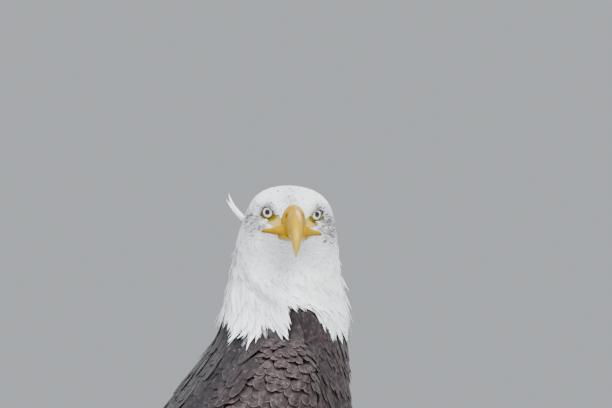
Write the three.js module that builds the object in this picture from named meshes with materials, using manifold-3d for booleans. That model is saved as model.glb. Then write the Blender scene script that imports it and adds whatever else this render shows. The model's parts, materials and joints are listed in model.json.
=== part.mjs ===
// Bald eagle, standing still on the floor with its head turned to its right.
//
// Millimetres, +Z up. The body faces -Y and the bird's left side is +X. Profiles are drawn as
// [forward, height] pairs: forward from the upright axis of the neck, height down from the crown.
import * as THREE from "three";
import { LoftGeometry } from "three/addons/geometries/LoftGeometry.js";
import { mergeVertices } from "three/addons/utils/BufferGeometryUtils.js";
import Module from "manifold-3d";

const wasm = await Module();
wasm.setup();

// ---- Driving dimensions ------------------------------------------------------------------------

const CROWN_HEIGHT = 625; // floor to crown of the head
const GAP = 0.35; // between pieces that touch
const WELD = 1e-3; // vertices closer than this are one
const SIDES = { L: 1, R: -1 };

// Pose of the head: turned to the bird's right and tilted with its left side lower.
const HEAD_TURN = 95;
const HEAD_TILT = 3;
const HEAD_PIVOT = [-5.5, -60];

// The body from the base of the bill to the root of the tail. Each station is a cross-section
// between a point of the upper outline and one of the lower outline: half its width, the powers of
// its rounded section above and below (2 is an ellipse, more is squarer), how much wider it is
// below than above, and the share of the head's turn that it takes.
const BODY = [
  { name: "bill base", top: [60, -19], base: [64, -50], half: 14, square: [2.2, 2.2], flare: 0.25, turn: 1 },
  { name: "lores", top: [53, -13], base: [57, -58], half: 22.5, square: [2.3, 2.3], flare: 0.18, turn: 1 },
  { name: "brow", top: [38, -4.5], base: [48, -67], half: 33, square: [2.4, 2.4], flare: 0.05, turn: 1 },
  { name: "crown", top: [18, 0], base: [43, -77], half: 42.5, square: [2.6, 2.6], flare: 0, turn: 1 },
  { name: "ear", top: [-6, -4], base: [42, -88], half: 46, square: [2.5, 2.5], flare: 0, turn: 1 },
  { name: "occiput", top: [-28, -20], base: [46, -101], half: 49.5, square: [2.4, 2.4], flare: 0, turn: 1 },
  { name: "nape", top: [-49, -53], base: [52, -118], half: 56, square: [2.3, 2.3], flare: 0, turn: 0.74 },
  { name: "mid neck", top: [-63, -97], base: [57, -138], half: 59, square: [2.2, 2.2], flare: 0, turn: 0.32 },
  { name: "neck base", top: [-78, -150], base: [58, -167], half: 64, square: [2.1, 2.1], flare: 0, turn: 0 },
  { name: "shoulders", top: [-104, -194], base: [61, -208], half: 80, square: [2.1, 2.1], flare: 0, turn: 0 },
  { name: "breast", top: [-138, -240], base: [65, -264], half: 88, square: [2.1, 2.1], flare: 0, turn: 0 },
  { name: "middle", top: [-174, -290], base: [50, -318], half: 90, square: [2.1, 2.1], flare: 0, turn: 0 },
  { name: "belly", top: [-208, -334], base: [14, -366], half: 86, square: [2.1, 2.1], flare: 0, turn: 0 },
  { name: "loins", top: [-238, -368], base: [-42, -404], half: 76, square: [2.1, 2.1], flare: 0, turn: 0 },
  { name: "vent", top: [-264, -394], base: [-118, -432], half: 58, square: [2.1, 2.1], flare: 0, turn: 0 },
  { name: "coverts", top: [-286, -412], base: [-200, -446], half: 42, square: [2.2, 2.2], flare: 0, turn: 0 },
  { name: "tail", top: [-312, -436], base: [-276, -466], half: 31, square: [2.4, 2.4], flare: 0, turn: 0 },
];

// Ridges and hollows on both sides of the body. Each lies along a line between two points
// [side, forward, height], reaches so far from it, and rises (or sinks) so much at its middle.
const FORMS = [
  { name: "brow ridge", from: [12, 57, -14], to: [31, 32, -16], reach: 7, rise: 4 },
  { name: "eye socket", from: [27, 41, -26], to: [26, 43, -26], reach: 9, rise: -10 },
  { name: "lores", from: [24, 46, -30], to: [15, 58, -33], reach: 8, rise: -3.5 },
  { name: "cheek", from: [40, 22, -50], to: [44, 2, -58], reach: 16, rise: 2.5 },
  { name: "scapulars", from: [58, -58, -178], to: [56, -205, -362], reach: 30, rise: 17 },
];

// Lengths of the body: the station where each one ends, and its rings. Thin cuts part them.
const LENGTHS = {
  head: { end: 5, rings: 16 },
  neck: { end: 8, rings: 9 },
  trunk: { end: 13, rings: 10 },
  rump: { end: BODY.length - 1, rings: 5 },
};
const SEAM = 0.006; // half of a thin cut, in stations
const HEAD_COLUMNS = 28;
const BODY_COLUMNS = 24;

// The bill, as stations like the body's. The cere is its soft base.
const CERE = [
  { top: [59, -16.4], base: [63, -47.5], half: 11.7, square: [2.1, 2.6], flare: 0.06 },
  { top: [67, -17], base: [68.6, -48], half: 10.4, square: [2.1, 2.6], flare: 0 },
  { top: [75.2, -19.9], base: [74.8, -48.4], half: 8.2, square: [2.1, 2.6], flare: 0 },
];
const BILL_UPPER = [
  { top: [75.6, -20.2], base: [75.2, -49], half: 7.9, square: [2.1, 3], flare: 0 },
  { top: [88, -23.6], base: [86, -50], half: 7.5, square: [2.1, 3], flare: 0 },
  { top: [99.5, -30.6], base: [95, -50.4], half: 6.6, square: [2.1, 2.8], flare: 0 },
  { top: [108, -40.6], base: [101.6, -53.4], half: 5.1, square: [2, 2.4], flare: 0 },
  { top: [112.2, -50.6], base: [106.2, -57.8], half: 3.5, square: [2, 2], flare: 0 },
  { top: [111.8, -59.6], base: [108.4, -62.4], half: 1.9, square: [2, 2], flare: 0 },
  { top: [110, -65.4], base: [109.5, -66], half: 0.5, square: [2, 2], flare: 0 },
];
const BILL_LOWER = [
  { top: [50, -44.5], base: [55, -52.6], half: 17.5, square: [3, 2.2], flare: -0.1 },
  { top: [60, -45], base: [63, -52.6], half: 14.5, square: [3, 2.2], flare: -0.1 },
  { top: [70, -46], base: [71, -52.6], half: 10, square: [4, 2.2], flare: -0.14 },
  { top: [80, -47.4], base: [80, -52.6], half: 6.6, square: [4, 2.2], flare: -0.14 },
  { top: [89, -48.6], base: [89, -52.4], half: 5.2, square: [4, 2.2], flare: -0.14 },
  { top: [98, -51.4], base: [97.8, -52.2], half: 1.2, square: [2, 2], flare: 0 },
];

// Lips: the middle line from the bill to the corner of the mouth, and half their height and
// thickness at even distances along it.
const GAPE_BASE = [4, 70, -40.5];
const GAPE_MIDDLE = [20, 61, -43.6];
const GAPE_CORNER = [30, 42, -43.4];
const GAPE = [
  { tall: 10, thick: 3 },
  { tall: 7.2, thick: 3.2 },
  { tall: 4.6, thick: 2.8 },
  { tall: 2.8, thick: 2.3 },
  { tall: 2.3, thick: 2.2 },
];
const GAPE_RINGS = 5;
const GAPE_COLUMNS = 6;
const GAPE_BLUNTNESS = 0.9; // how far round the end goes before it is cut off
const GAPE_ROUND = 0.82; // where its round end begins, as a share of its length
const BILL_COLUMNS = 12;
const BILL_RINGS = 9;
const BILL_LOWER_RINGS = 5;
const CERE_RINGS = 2;

// Eyes: the pupil's place, the way it looks, and the eyeball behind it.
const PUPIL = [24, 41, -25.6];
const EYE_RADIUS = 11;
const EYE_SPLAY = 34; // from straight ahead
const EYE_DEPTH = 9.2; // of the eyeball's middle behind the pupil
const EYE_COLUMNS = 12;
const EYE_RINGS = 8;

// Folded wing: its middle line in profile, and stations along it with half the breadth of the
// wing, half its thickness, its middle's distance from the bird's middle, and its lean inwards.
const WING_LINE = [
  [-20, -148],
  [-16, -268],
  [-210, -388],
  [-456, -562],
];
const WING = [
  { half: 40, thick: 29, side: 74, lean: 8 },
  { half: 48, thick: 32, side: 76, lean: 12 },
  { half: 63, thick: 32, side: 77, lean: 20 },
  { half: 69, thick: 29, side: 75, lean: 30 },
  { half: 66, thick: 25, side: 68, lean: 41 },
  { half: 56, thick: 19, side: 54, lean: 49 },
  { half: 43, thick: 12, side: 41, lean: 55 },
  { half: 30, thick: 7, side: 31, lean: 60 },
  { half: 19, thick: 3.5, side: 27, lean: 62 },
];
const WING_BEND = 0.08; // the share of the wing that its rounded bend takes
const WING_TIP = 0.07; // and the share that its rounded tip takes
const WING_TIP_CUT = 0.92; // how far round the tip goes before it is cut off, 1 being a point
const WING_FIRST = 0.0015; // the share at which its first ring lies
const WING_CROWDING = 1.7; // how much closer the rings lie towards the bend
const WING_SQUARENESS = 0.9; // the power of its rounded edges, 1 being an ellipse
const WING_SPLITS = { coverts: 0.47, secondaries: 0.72, primaries: 1 };
const WING_RINGS = { coverts: 10, secondaries: 4, primaries: 5 };
const WING_COLUMNS = 14;

// Tail: closed fan of feathers behind the root, with its half-breadth and half-thickness.
const TAIL_ROOT = [-272, -424];
const TAIL_SLOPE = 41;
const TAIL = [
  { along: 0, half: 27, thick: 11 },
  { along: 60, half: 36, thick: 9 },
  { along: 130, half: 47, thick: 6 },
  { along: 200, half: 56, thick: 3.6 },
  { along: 240, half: 57, thick: 2.6 },
  { along: 258, half: 48, thick: 2.2 },
  { along: 264, half: 33, thick: 2 },
];
const TAIL_CAMBER = 7; // how far its edges droop
const TAIL_SQUARENESS = 0.8; // the power of its rounded edges, 1 being an ellipse
const TAIL_RINGS = 9;
const TAIL_COLUMNS = 14;

// Legs: stations down the feathered leg, by height over the floor, and the bare leg below it.
const FOOT_SIDE = 55;
const FOOT_FORWARD = -104;
const THIGH = [
  { height: 275, forward: -88, side: 46, across: 36, fore: 58 },
  { height: 225, forward: -84, side: 50, across: 41, fore: 61 },
  { height: 175, forward: -92, side: 53, across: 39, fore: 53 },
  { height: 130, forward: -108, side: 55, across: 32, fore: 41 },
  { height: 90, forward: -121, side: 56, across: 25, fore: 31 },
  { height: 64, forward: -124, side: 56, across: 17, fore: 20 },
];
const THIGH_RINGS = 6;
const THIGH_COLUMNS = 14;
const TARSUS = [
  { height: 64 - GAP, forward: -20, radius: 9.4 },
  { height: 44, forward: -13, radius: 9.2 },
  { height: 26, forward: -4, radius: 10.4 },
  { height: 13, forward: 0, radius: 13 },
  { height: -2, forward: 0, radius: 13.5 },
];
const TARSUS_RINGS = 5;
const TARSUS_COLUMNS = 10;

// Toes: the way each points (outwards from straight ahead), its reach, thickness and claw.
const TOES = {
  inner: { points: -32, reach: 62, radius: 9.4, claw: 38 },
  middle: { points: 3, reach: 82, radius: 9, claw: 34 },
  outer: { points: 38, reach: 66, radius: 8.4, claw: 30 },
  hind: { points: 176, reach: 46, radius: 9.6, claw: 42 },
};
const TOE_DIP = 1.5; // a toe is pressed flat where it would go this far into the floor
const TOE_ROOT = 6; // how far from the foot's axis its middle line starts
const TOE_ARCH = 6; // how much higher it starts than it lies on the floor
const TOE_BEND = 0.45; // where its middle line comes down, as a share of its reach
const TOE_LIFT = 1.8; // how much lower than it lies it goes there, and higher it ends
const TOE_KNUCKLES = 3;
const TOE_KNUCKLE_SWELL = 0.06;
const TOE_TAPER = 0.27;
const TOE_RINGS = 5;
const TOE_COLUMNS = 8;
const CLAW_CLEARANCE = 1.2; // of the tip's middle over the floor
const CLAW_TIP = 0.45; // radius at its tip
const CLAW_REACH = 0.8; // level reach, as a share of its length
const CLAW_START = 0.32; // how far it goes straight on from its toe, as a share of its length
const CLAW_TURN = 0.6; // where it turns down, as a share of its length
const CLAW_BOW = 0.17; // how high that is over its root, as a share of its length
const CLAW_SHARPENING = 0.8; // the power by which it thins, 1 being a straight cone
const FLOOR_SIZE = 400; // of the block of floor that presses a foot flat
const CLAW_RINGS = 5;
const CLAW_COLUMNS = 6;

// Finishes of the pieces.
const FINISHES = {
  whitePlumage: { color: "#f4f4f6", roughness: 0.85 },
  brownPlumage: { color: "#4d4446", roughness: 0.85 },
  wingCoverts: { color: "#5c5255", roughness: 0.8 },
  flightFeathers: { color: "#3a3234", roughness: 0.7 },
  horn: { color: "#f6c060", roughness: 0.35 },
  cere: { color: "#f4c84c", roughness: 0.5 },
  iris: { color: "#e8e3cf", roughness: 0.1 },
  yellowSkin: { color: "#e8b73a", roughness: 0.6 },
  talon: { color: "#1d1b1c", roughness: 0.3 },
};

// ---- Solids ------------------------------------------------------------------------------------

/** A closed geometry as a solid, with its shared vertices welded. */
function toSolid(geometry) {
  const bare = new THREE.BufferGeometry();
  bare.setAttribute("position", geometry.getAttribute("position"));
  bare.setIndex(geometry.getIndex());
  const welded = mergeVertices(bare, WELD);
  return new wasm.Manifold(
    new wasm.Mesh({
      numProp: 3,
      vertProperties: welded.attributes.position.array,
      triVerts: new Uint32Array(welded.index.array),
    }),
  );
}

/** A solid skinned through rings, each counterclockwise as seen from the last one. */
function loft(rings) {
  return toSolid(new LoftGeometry(rings, { capStart: true, capEnd: true }));
}

/** A solid as a named mesh with one of the finishes. */
function toMesh(name, solid, finish) {
  const { vertProperties, triVerts } = solid.getMesh();
  const geometry = new THREE.BufferGeometry();
  geometry.setAttribute("position", new THREE.BufferAttribute(vertProperties, 3));
  geometry.setIndex(new THREE.BufferAttribute(triVerts, 1));
  geometry.computeVertexNormals();
  const mesh = new THREE.Mesh(geometry, new THREE.MeshStandardMaterial(FINISHES[finish]));
  mesh.name = name;
  return mesh;
}

/** Evenly spaced numbers from one value to another. */
function steps(from, to, count) {
  return Array.from({ length: count }, (_, i) => THREE.MathUtils.lerp(from, to, i / (count - 1)));
}

/** A smooth value of one field of a list of stations at a position counted in stations. */
function blend(stations, field, position) {
  const values = stations.map((station) => new THREE.Vector2(...[station[field]].flat()));
  return new THREE.SplineCurve(values).getPoint(position / (stations.length - 1));
}

/** A power of a number that keeps its sign. */
function signedPower(value, power) {
  return Math.sign(value) * Math.abs(value) ** power;
}

/** A profile point and a sideways distance in the part's own axes. */
function place(side, forward, height) {
  return new THREE.Vector3(side, -forward, CROWN_HEIGHT + height);
}

// ---- Head pose ---------------------------------------------------------------------------------

const radians = THREE.MathUtils.degToRad;
const pivot = place(0, ...HEAD_PIVOT);
const headRotation = new THREE.Quaternion().setFromEuler(
  new THREE.Euler(0, radians(HEAD_TILT), radians(-HEAD_TURN), "ZXY"),
);

/** A point of the level, forward-facing bird, moved by a share of the head's turn. */
function turned(point, share) {
  const rotation = new THREE.Quaternion().slerp(headRotation, share);
  return point.sub(pivot).applyQuaternion(rotation).add(pivot);
}

/** A point relative to the head's pivot, where the head's own pieces are drawn. */
function inHead(point) {
  return point.sub(pivot);
}

// ---- Body --------------------------------------------------------------------------------------

/** How far the ridges and hollows move the surface at a point [side, forward, height]. */
function relief(side, forward, height) {
  const point = new THREE.Vector3(Math.abs(side), forward, height);
  return FORMS.reduce((sum, form) => {
    const line = new THREE.Line3(new THREE.Vector3(...form.from), new THREE.Vector3(...form.to));
    const nearest = line.closestPointToPoint(point, true, new THREE.Vector3());
    return sum + form.rise * Math.exp(-nearest.distanceToSquared(point) / form.reach ** 2);
  }, 0);
}

/** One ring of a list of stations, grown outwards by a margin and moved by relief and place. */
function stationRing(stations, position, columns, margin, shape, move) {
  const upper = blend(stations, "top", position);
  const lower = blend(stations, "base", position);
  const square = blend(stations, "square", position);
  const half = blend(stations, "half", position).x;
  const flare = blend(stations, "flare", position).x;
  const middle = upper.clone().add(lower).divideScalar(2);
  const rise = upper.clone().sub(lower).divideScalar(2);
  const size = rise.length();
  return Array.from({ length: columns }, (_, column) => {
    const angle = (column / columns) * 2 * Math.PI;
    const power = 2 / (Math.cos(angle) > 0 ? square.x : square.y);
    const up = signedPower(Math.cos(angle), power);
    const out = signedPower(Math.sin(angle), power) * (1 - flare * up);
    const outline = new THREE.Vector2(out * half, up * size);
    const profile = middle.clone().addScaledVector(rise, up);
    const swell = margin + shape(outline.x, profile.x, profile.y);
    const push = outline.clone().normalize().multiplyScalar(swell);
    profile.addScaledVector(rise, push.y / size);
    return move(place(outline.x + push.x, profile.x, profile.y));
  });
}

/** The stations of the rings of one length of the body. */
function ringPositions(name) {
  const names = Object.keys(LENGTHS);
  const before = LENGTHS[names[names.indexOf(name) - 1]];
  const { end, rings } = LENGTHS[name];
  const last = BODY.length - 1;
  return steps(before ? before.end + SEAM : 0, end < last ? end - SEAM : last, rings + 1);
}

/** A body solid through rings at some stations, grown by a margin. */
function bodySolid(positions, margin = 0) {
  const sections = positions.map((position) => {
    const share = THREE.MathUtils.clamp(blend(BODY, "turn", position).x, 0, 1);
    const pose = (point) => turned(point, share);
    return stationRing(BODY, position, BODY_COLUMNS, margin, relief, pose);
  });
  return loft(sections);
}

/** The head without its bill, in the head's own axes, grown by a margin. */
function faceSolid(margin = 0) {
  const sections = ringPositions("head").map((position) =>
    stationRing(BODY, position, HEAD_COLUMNS, margin, relief, inHead),
  );
  return loft(sections);
}

/** A length of the bill in the head's own axes, as a solid. */
function billSolid(stations, rings, margin = 0) {
  const flat = () => 0;
  const sections = steps(0, stations.length - 1, rings + 1).map((position) =>
    stationRing(stations, position, BILL_COLUMNS, margin, flat, inHead),
  );
  return loft(sections.reverse());
}

/** A round solid along a curve, with its radius as a function of the distance along, 0 to 1. */
function rod(curve, radius, rings, columns) {
  const frames = curve.computeFrenetFrames(rings, false);
  const sections = steps(0, 1, rings + 1).map((along, i) => {
    const reach = frames.normals[i].clone().multiplyScalar(radius(along));
    const rise = frames.binormals[i].clone().multiplyScalar(radius(along));
    return ovalRing(curve.getPointAt(along), reach, rise, columns);
  });
  return loft(sections);
}

/** A ring of points round a centre, on the oval with two half axes. */
function ovalRing(centre, reach, rise, columns) {
  return Array.from({ length: columns }, (_, column) => {
    const angle = (column / columns) * 2 * Math.PI;
    return centre
      .clone()
      .addScaledVector(reach, Math.cos(angle))
      .addScaledVector(rise, Math.sin(angle));
  });
}

// ---- Head --------------------------------------------------------------------------------------

/** The eyeball of one side, grown by a margin, in the head's own axes. */
function eyeSolid(side, margin = 0) {
  const splay = radians(EYE_SPLAY);
  const [across, forward, height] = PUPIL;
  const centre = place(
    side * (across - EYE_DEPTH * Math.sin(splay)),
    forward - EYE_DEPTH * Math.cos(splay),
    height,
  );
  const ball = new THREE.SphereGeometry(EYE_RADIUS + margin, EYE_COLUMNS, EYE_RINGS);
  ball.translate(...inHead(centre));
  return toSolid(ball);
}

/** The yellow lip from the bill back to the corner of the mouth, on one side. */
function gapeSolid(side, margin = 0) {
  const points = [GAPE_BASE, GAPE_MIDDLE, GAPE_CORNER].map(([across, ...profile]) =>
    inHead(place(side * across, ...profile)),
  );
  const curve = new THREE.QuadraticBezierCurve3(...points);
  const up = new THREE.Vector3(0, 0, 1);
  const sections = steps(0, 1, GAPE_RINGS + 1).map((along) => {
    const rounding = Math.max(0, (along - GAPE_ROUND) / (1 - GAPE_ROUND)) * GAPE_BLUNTNESS;
    const size = (field) =>
      margin + blend(GAPE, field, along * (GAPE.length - 1)).x * Math.sqrt(1 - rounding ** 2);
    const reach = up.clone().cross(curve.getTangentAt(along)).setLength(size("thick"));
    const rise = up.clone().multiplyScalar(size("tall"));
    return ovalRing(curve.getPointAt(along), reach, rise, GAPE_COLUMNS);
  });
  return loft(sections);
}

/** The head's pieces, in one group that carries the head's pose. */
function headGroup() {
  const group = new THREE.Group();
  group.position.copy(pivot);
  group.quaternion.copy(headRotation);
  const sides = Object.values(SIDES);
  const cere = (margin) =>
    sides.reduce(
      (sum, side) => sum.add(gapeSolid(side, margin)),
      billSolid(CERE, CERE_RINGS, margin),
    );
  const upper = billSolid(BILL_UPPER, BILL_RINGS);
  const lower = billSolid(BILL_LOWER, BILL_LOWER_RINGS)
    .subtract(billSolid(BILL_UPPER, BILL_RINGS, GAP))
    .subtract(cere(GAP))
    .subtract(faceSolid(GAP));
  const head = sides.reduce(
    (sum, side) => sum.subtract(eyeSolid(side, GAP)),
    faceSolid().subtract(cere(GAP)),
  );
  group.add(toMesh("head", head, "whitePlumage"));
  group.add(toMesh("cere", cere(0), "cere"));
  group.add(toMesh("bill_upper", upper, "horn"));
  group.add(toMesh("bill_lower", lower, "horn"));
  for (const [letter, side] of Object.entries(SIDES)) {
    group.add(toMesh(`eye_${letter}`, eyeSolid(side), "iris"));
  }
  return group;
}

// ---- Trunk and tail ----------------------------------------------------------------------------

/** The neck, trunk and rump. */
function bodyMeshes() {
  const finishes = { neck: "whitePlumage", trunk: "brownPlumage", rump: "brownPlumage" };
  return Object.entries(finishes).map(([name, finish]) =>
    toMesh(name, bodySolid(ringPositions(name)), finish),
  );
}

/** The tail's fan, grown by a margin. */
function tailSolid(margin = 0) {
  const slope = radians(TAIL_SLOPE);
  const sections = steps(0, TAIL.length - 1, TAIL_RINGS + 1).map((position) => {
    const along = blend(TAIL, "along", position).x;
    const half = blend(TAIL, "half", position).x + margin;
    const thick = blend(TAIL, "thick", position).x + margin;
    return Array.from({ length: TAIL_COLUMNS }, (_, column) => {
      const angle = (column / TAIL_COLUMNS) * 2 * Math.PI;
      const out = signedPower(Math.sin(angle), TAIL_SQUARENESS);
      const lift = thick * Math.cos(angle) - TAIL_CAMBER * out ** 2;
      const forward = TAIL_ROOT[0] - along * Math.cos(slope) - lift * Math.sin(slope);
      const height = TAIL_ROOT[1] - along * Math.sin(slope) + lift * Math.cos(slope);
      return place(out * half, forward, height);
    });
  });
  return loft(sections);
}

// ---- Wings -------------------------------------------------------------------------------------

const wingLine = new THREE.CubicBezierCurve(...WING_LINE.map((point) => new THREE.Vector2(...point)));

/** One ring across a folded wing, at a share of its length. */
function wingRing(side, share) {
  const position = share * (WING.length - 1);
  const bend = Math.sqrt(1 - (1 - Math.min(share / WING_BEND, 1)) ** 2);
  const tip = Math.max(0, (share - 1 + WING_TIP) / WING_TIP) * WING_TIP_CUT;
  const half = blend(WING, "half", position).x * bend * Math.sqrt(1 - tip ** 2);
  const thick = blend(WING, "thick", position).x * bend;
  const lean = radians(blend(WING, "lean", position).x);
  const middle = blend(WING, "side", position).x;
  const centre = wingLine.getPointAt(share);
  const tangent = wingLine.getTangentAt(share);
  const backwards = new THREE.Vector2(tangent.y, -tangent.x);
  const ring = Array.from({ length: WING_COLUMNS }, (_, column) => {
    const angle = (column / WING_COLUMNS) * 2 * Math.PI;
    const across = half * signedPower(Math.cos(angle), WING_SQUARENESS);
    const out = thick * signedPower(Math.sin(angle), WING_SQUARENESS);
    const rise = across * Math.cos(lean) + out * Math.sin(lean);
    const profile = centre.clone().addScaledVector(backwards, rise);
    const sideways = middle + out * Math.cos(lean) - across * Math.sin(lean);
    return place(side * sideways, profile.x, profile.y);
  });
  return side > 0 ? ring : ring.reverse();
}

/** The lengths of one folded wing, cut away where the body and the tail lie. */
function wingMeshes(letter, side, taken) {
  let from = WING_FIRST;
  return Object.entries(WING_SPLITS).map(([part, to]) => {
    const crowding = part === "coverts" ? WING_CROWDING : 1;
    const shares = steps(0, 1, WING_RINGS[part] + 1).map((share) =>
      THREE.MathUtils.lerp(from, to, share ** crowding),
    );
    from = to + GAP / wingLine.getLength();
    const length = loft(shares.map((share) => wingRing(side, share)));
    const finish = part === "coverts" ? "wingCoverts" : "flightFeathers";
    return toMesh(`wing_${letter}_${part}`, largest(length.subtract(taken)), finish);
  });
}

/** The largest of a solid's separate bodies. */
function largest(solid) {
  return solid.decompose().reduce((best, body) => (body.volume() > best.volume() ? body : best));
}

// ---- Legs --------------------------------------------------------------------------------------

/** The feathered leg of one side. */
function thighSolid(side, margin = 0) {
  const sections = steps(0, THIGH.length - 1, THIGH_RINGS + 1).map((position) => {
    const height = blend(THIGH, "height", position).x - CROWN_HEIGHT;
    const forward = blend(THIGH, "forward", position).x;
    const middle = blend(THIGH, "side", position).x;
    const across = blend(THIGH, "across", position).x + margin;
    const fore = blend(THIGH, "fore", position).x + margin;
    return Array.from({ length: THIGH_COLUMNS }, (_, column) => {
      const angle = (-column / THIGH_COLUMNS) * 2 * Math.PI;
      return place(
        side * middle + across * Math.cos(angle),
        forward - fore * Math.sin(angle),
        height,
      );
    });
  });
  return loft(sections);
}

/** What lies under the floor and is pressed flat, as a solid round a foot. */
function underFloor() {
  const box = new THREE.BoxGeometry(FLOOR_SIZE, FLOOR_SIZE, FLOOR_SIZE);
  box.translate(0, 0, -FLOOR_SIZE / 2);
  return toSolid(box);
}

/** The bare leg with the ball of the foot, round the foot's own upright axis. */
function tarsusSolid(margin = 0) {
  const sections = steps(0, TARSUS.length - 1, TARSUS_RINGS + 1).map((position) => {
    const height = blend(TARSUS, "height", position).x;
    const forward = blend(TARSUS, "forward", position).x;
    const radius = blend(TARSUS, "radius", position).x + margin;
    return Array.from({ length: TARSUS_COLUMNS }, (_, column) => {
      const angle = (-column / TARSUS_COLUMNS) * 2 * Math.PI;
      return new THREE.Vector3(radius * Math.cos(angle), radius * Math.sin(angle) - forward, height);
    });
  });
  return loft(sections);
}

/** The level way that a toe points. */
function toeAim({ points }) {
  return new THREE.Vector3(Math.sin(radians(points)), -Math.cos(radians(points)), 0);
}

/** The middle line of a toe, from inside the ball of the foot to the root of its claw. */
function toeCurve(toe) {
  const low = toe.radius - TOE_DIP;
  const tip = low * (1 - TOE_TAPER) + TOE_LIFT;
  return new THREE.QuadraticBezierCurve3(
    toeAim(toe).multiplyScalar(TOE_ROOT).setZ(low + TOE_ARCH),
    toeAim(toe).multiplyScalar(toe.reach * TOE_BEND).setZ(low - TOE_LIFT),
    toeAim(toe).multiplyScalar(toe.reach).setZ(tip),
  );
}

/** A toe with its knuckles, grown by a margin. */
function toeSolid(toe, margin = 0) {
  const girth = (along) => {
    const knuckle = TOE_KNUCKLE_SWELL * Math.cos(2 * Math.PI * TOE_KNUCKLES * along);
    return toe.radius * (1 - TOE_TAPER * along + knuckle) + margin;
  };
  return rod(toeCurve(toe), girth, TOE_RINGS, TOE_COLUMNS);
}

/** A claw, curving down from the end of its toe to just over the floor. */
function clawSolid(toe) {
  const onward = toeCurve(toe).getTangent(1);
  const root = toeCurve(toe).getPoint(1).addScaledVector(onward, GAP);
  const tip = toeAim(toe).multiplyScalar(toe.reach + toe.claw * CLAW_REACH).setZ(CLAW_CLEARANCE);
  const curve = new THREE.CubicBezierCurve3(
    root,
    root.clone().addScaledVector(onward, toe.claw * CLAW_START),
    root.clone().addScaledVector(toeAim(toe), toe.claw * CLAW_TURN).setZ(root.z + toe.claw * CLAW_BOW),
    tip,
  );
  const start = toe.radius * (1 - TOE_TAPER);
  const girth = (along) => THREE.MathUtils.lerp(start, CLAW_TIP, along ** CLAW_SHARPENING);
  return rod(curve, girth, CLAW_RINGS, CLAW_COLUMNS);
}

/** One foot with its bare leg, in a group over the middle of its sole. */
function footGroup(letter, side) {
  const group = new THREE.Group();
  group.position.set(side * FOOT_SIDE, -FOOT_FORWARD, 0);
  group.scale.x = side;
  const floor = underFloor();
  const tarsus = tarsusSolid().subtract(floor);
  group.add(toMesh(`tarsus_${letter}`, tarsus, "yellowSkin"));
  let taken = tarsusSolid(GAP);
  for (const name of ["middle", "inner", "outer", "hind"]) {
    const toe = largest(toeSolid(TOES[name]).subtract(taken).subtract(floor));
    taken = taken.add(toeSolid(TOES[name], GAP));
    group.add(toMesh(`toe_${letter}_${name}`, toe, "yellowSkin"));
    group.add(toMesh(`claw_${letter}_${name}`, clawSolid(TOES[name]), "talon"));
  }
  return group;
}

// ---- Whole bird --------------------------------------------------------------------------------

const eagle = new THREE.Group();
eagle.add(headGroup(), ...bodyMeshes());

const bodyTaken = bodySolid(["neck", "trunk", "rump"].flatMap(ringPositions), GAP);
const tail = largest(tailSolid().subtract(bodyTaken));
eagle.add(toMesh("tail", tail, "whitePlumage"));

for (const [letter, side] of Object.entries(SIDES)) {
  const thigh = largest(thighSolid(side).subtract(bodyTaken));
  eagle.add(toMesh(`thigh_${letter}`, thigh, "brownPlumage"));
  const taken = bodyTaken.add(tailSolid(GAP)).add(thighSolid(side, GAP));
  eagle.add(...wingMeshes(letter, side, taken));
  eagle.add(footGroup(letter, side));
}

// The origin is on the floor under the middle of the bird's outline.
const outline = new THREE.Box3().setFromObject(eagle, true);
const centre = outline.getCenter(new THREE.Vector3());
eagle.position.set(-centre.x, -centre.y, -outline.min.z);

export default eagle;
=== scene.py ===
"""Bald eagle standing still with its head turned to its right: skin, feathers, bill, eyes and feet.

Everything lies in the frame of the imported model, in metres: +Z up, the body faces -Y and the
bird's left side is +X. Tables of sizes are in millimetres and in profile: [forward, height], with
forward counted from the upright axis of the neck and height from the crown of the head.
"""

import json
import logging
import math
from dataclasses import dataclass, replace
from enum import Enum
from typing import Any, Callable, Optional, Sequence, Union

import bpy
import numpy as np
from mathutils import Matrix, Vector
from mathutils.bvhtree import BVHTree


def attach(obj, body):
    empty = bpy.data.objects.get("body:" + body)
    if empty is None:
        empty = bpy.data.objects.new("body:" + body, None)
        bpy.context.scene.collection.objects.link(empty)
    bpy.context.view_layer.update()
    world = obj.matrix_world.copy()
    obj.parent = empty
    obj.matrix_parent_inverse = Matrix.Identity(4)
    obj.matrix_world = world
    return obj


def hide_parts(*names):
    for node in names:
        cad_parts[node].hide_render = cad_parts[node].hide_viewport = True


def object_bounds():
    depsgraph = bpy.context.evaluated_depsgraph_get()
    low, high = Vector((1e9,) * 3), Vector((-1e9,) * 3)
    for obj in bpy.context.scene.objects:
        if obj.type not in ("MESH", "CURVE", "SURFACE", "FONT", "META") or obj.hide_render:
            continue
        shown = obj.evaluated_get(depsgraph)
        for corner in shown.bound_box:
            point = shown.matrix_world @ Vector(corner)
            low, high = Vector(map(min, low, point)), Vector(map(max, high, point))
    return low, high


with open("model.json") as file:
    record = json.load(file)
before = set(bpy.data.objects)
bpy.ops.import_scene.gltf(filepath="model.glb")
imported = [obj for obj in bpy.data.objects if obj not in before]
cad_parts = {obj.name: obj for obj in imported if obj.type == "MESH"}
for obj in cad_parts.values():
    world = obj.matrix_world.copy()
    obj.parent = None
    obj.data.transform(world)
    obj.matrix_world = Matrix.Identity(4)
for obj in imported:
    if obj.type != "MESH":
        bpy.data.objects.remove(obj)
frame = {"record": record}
CAD_BOX = [list(corner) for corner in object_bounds()]

Array = np.ndarray
Piece = bpy.types.Object
Material = bpy.types.Material
Colour = tuple[float, float, float]
Place = tuple[float, float, float]
Pair = tuple[float, float]
Triple = tuple[Array, Array, Array]
Rule = Callable[[Array, Array], Array]
log = logging.getLogger("eagle")

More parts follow.
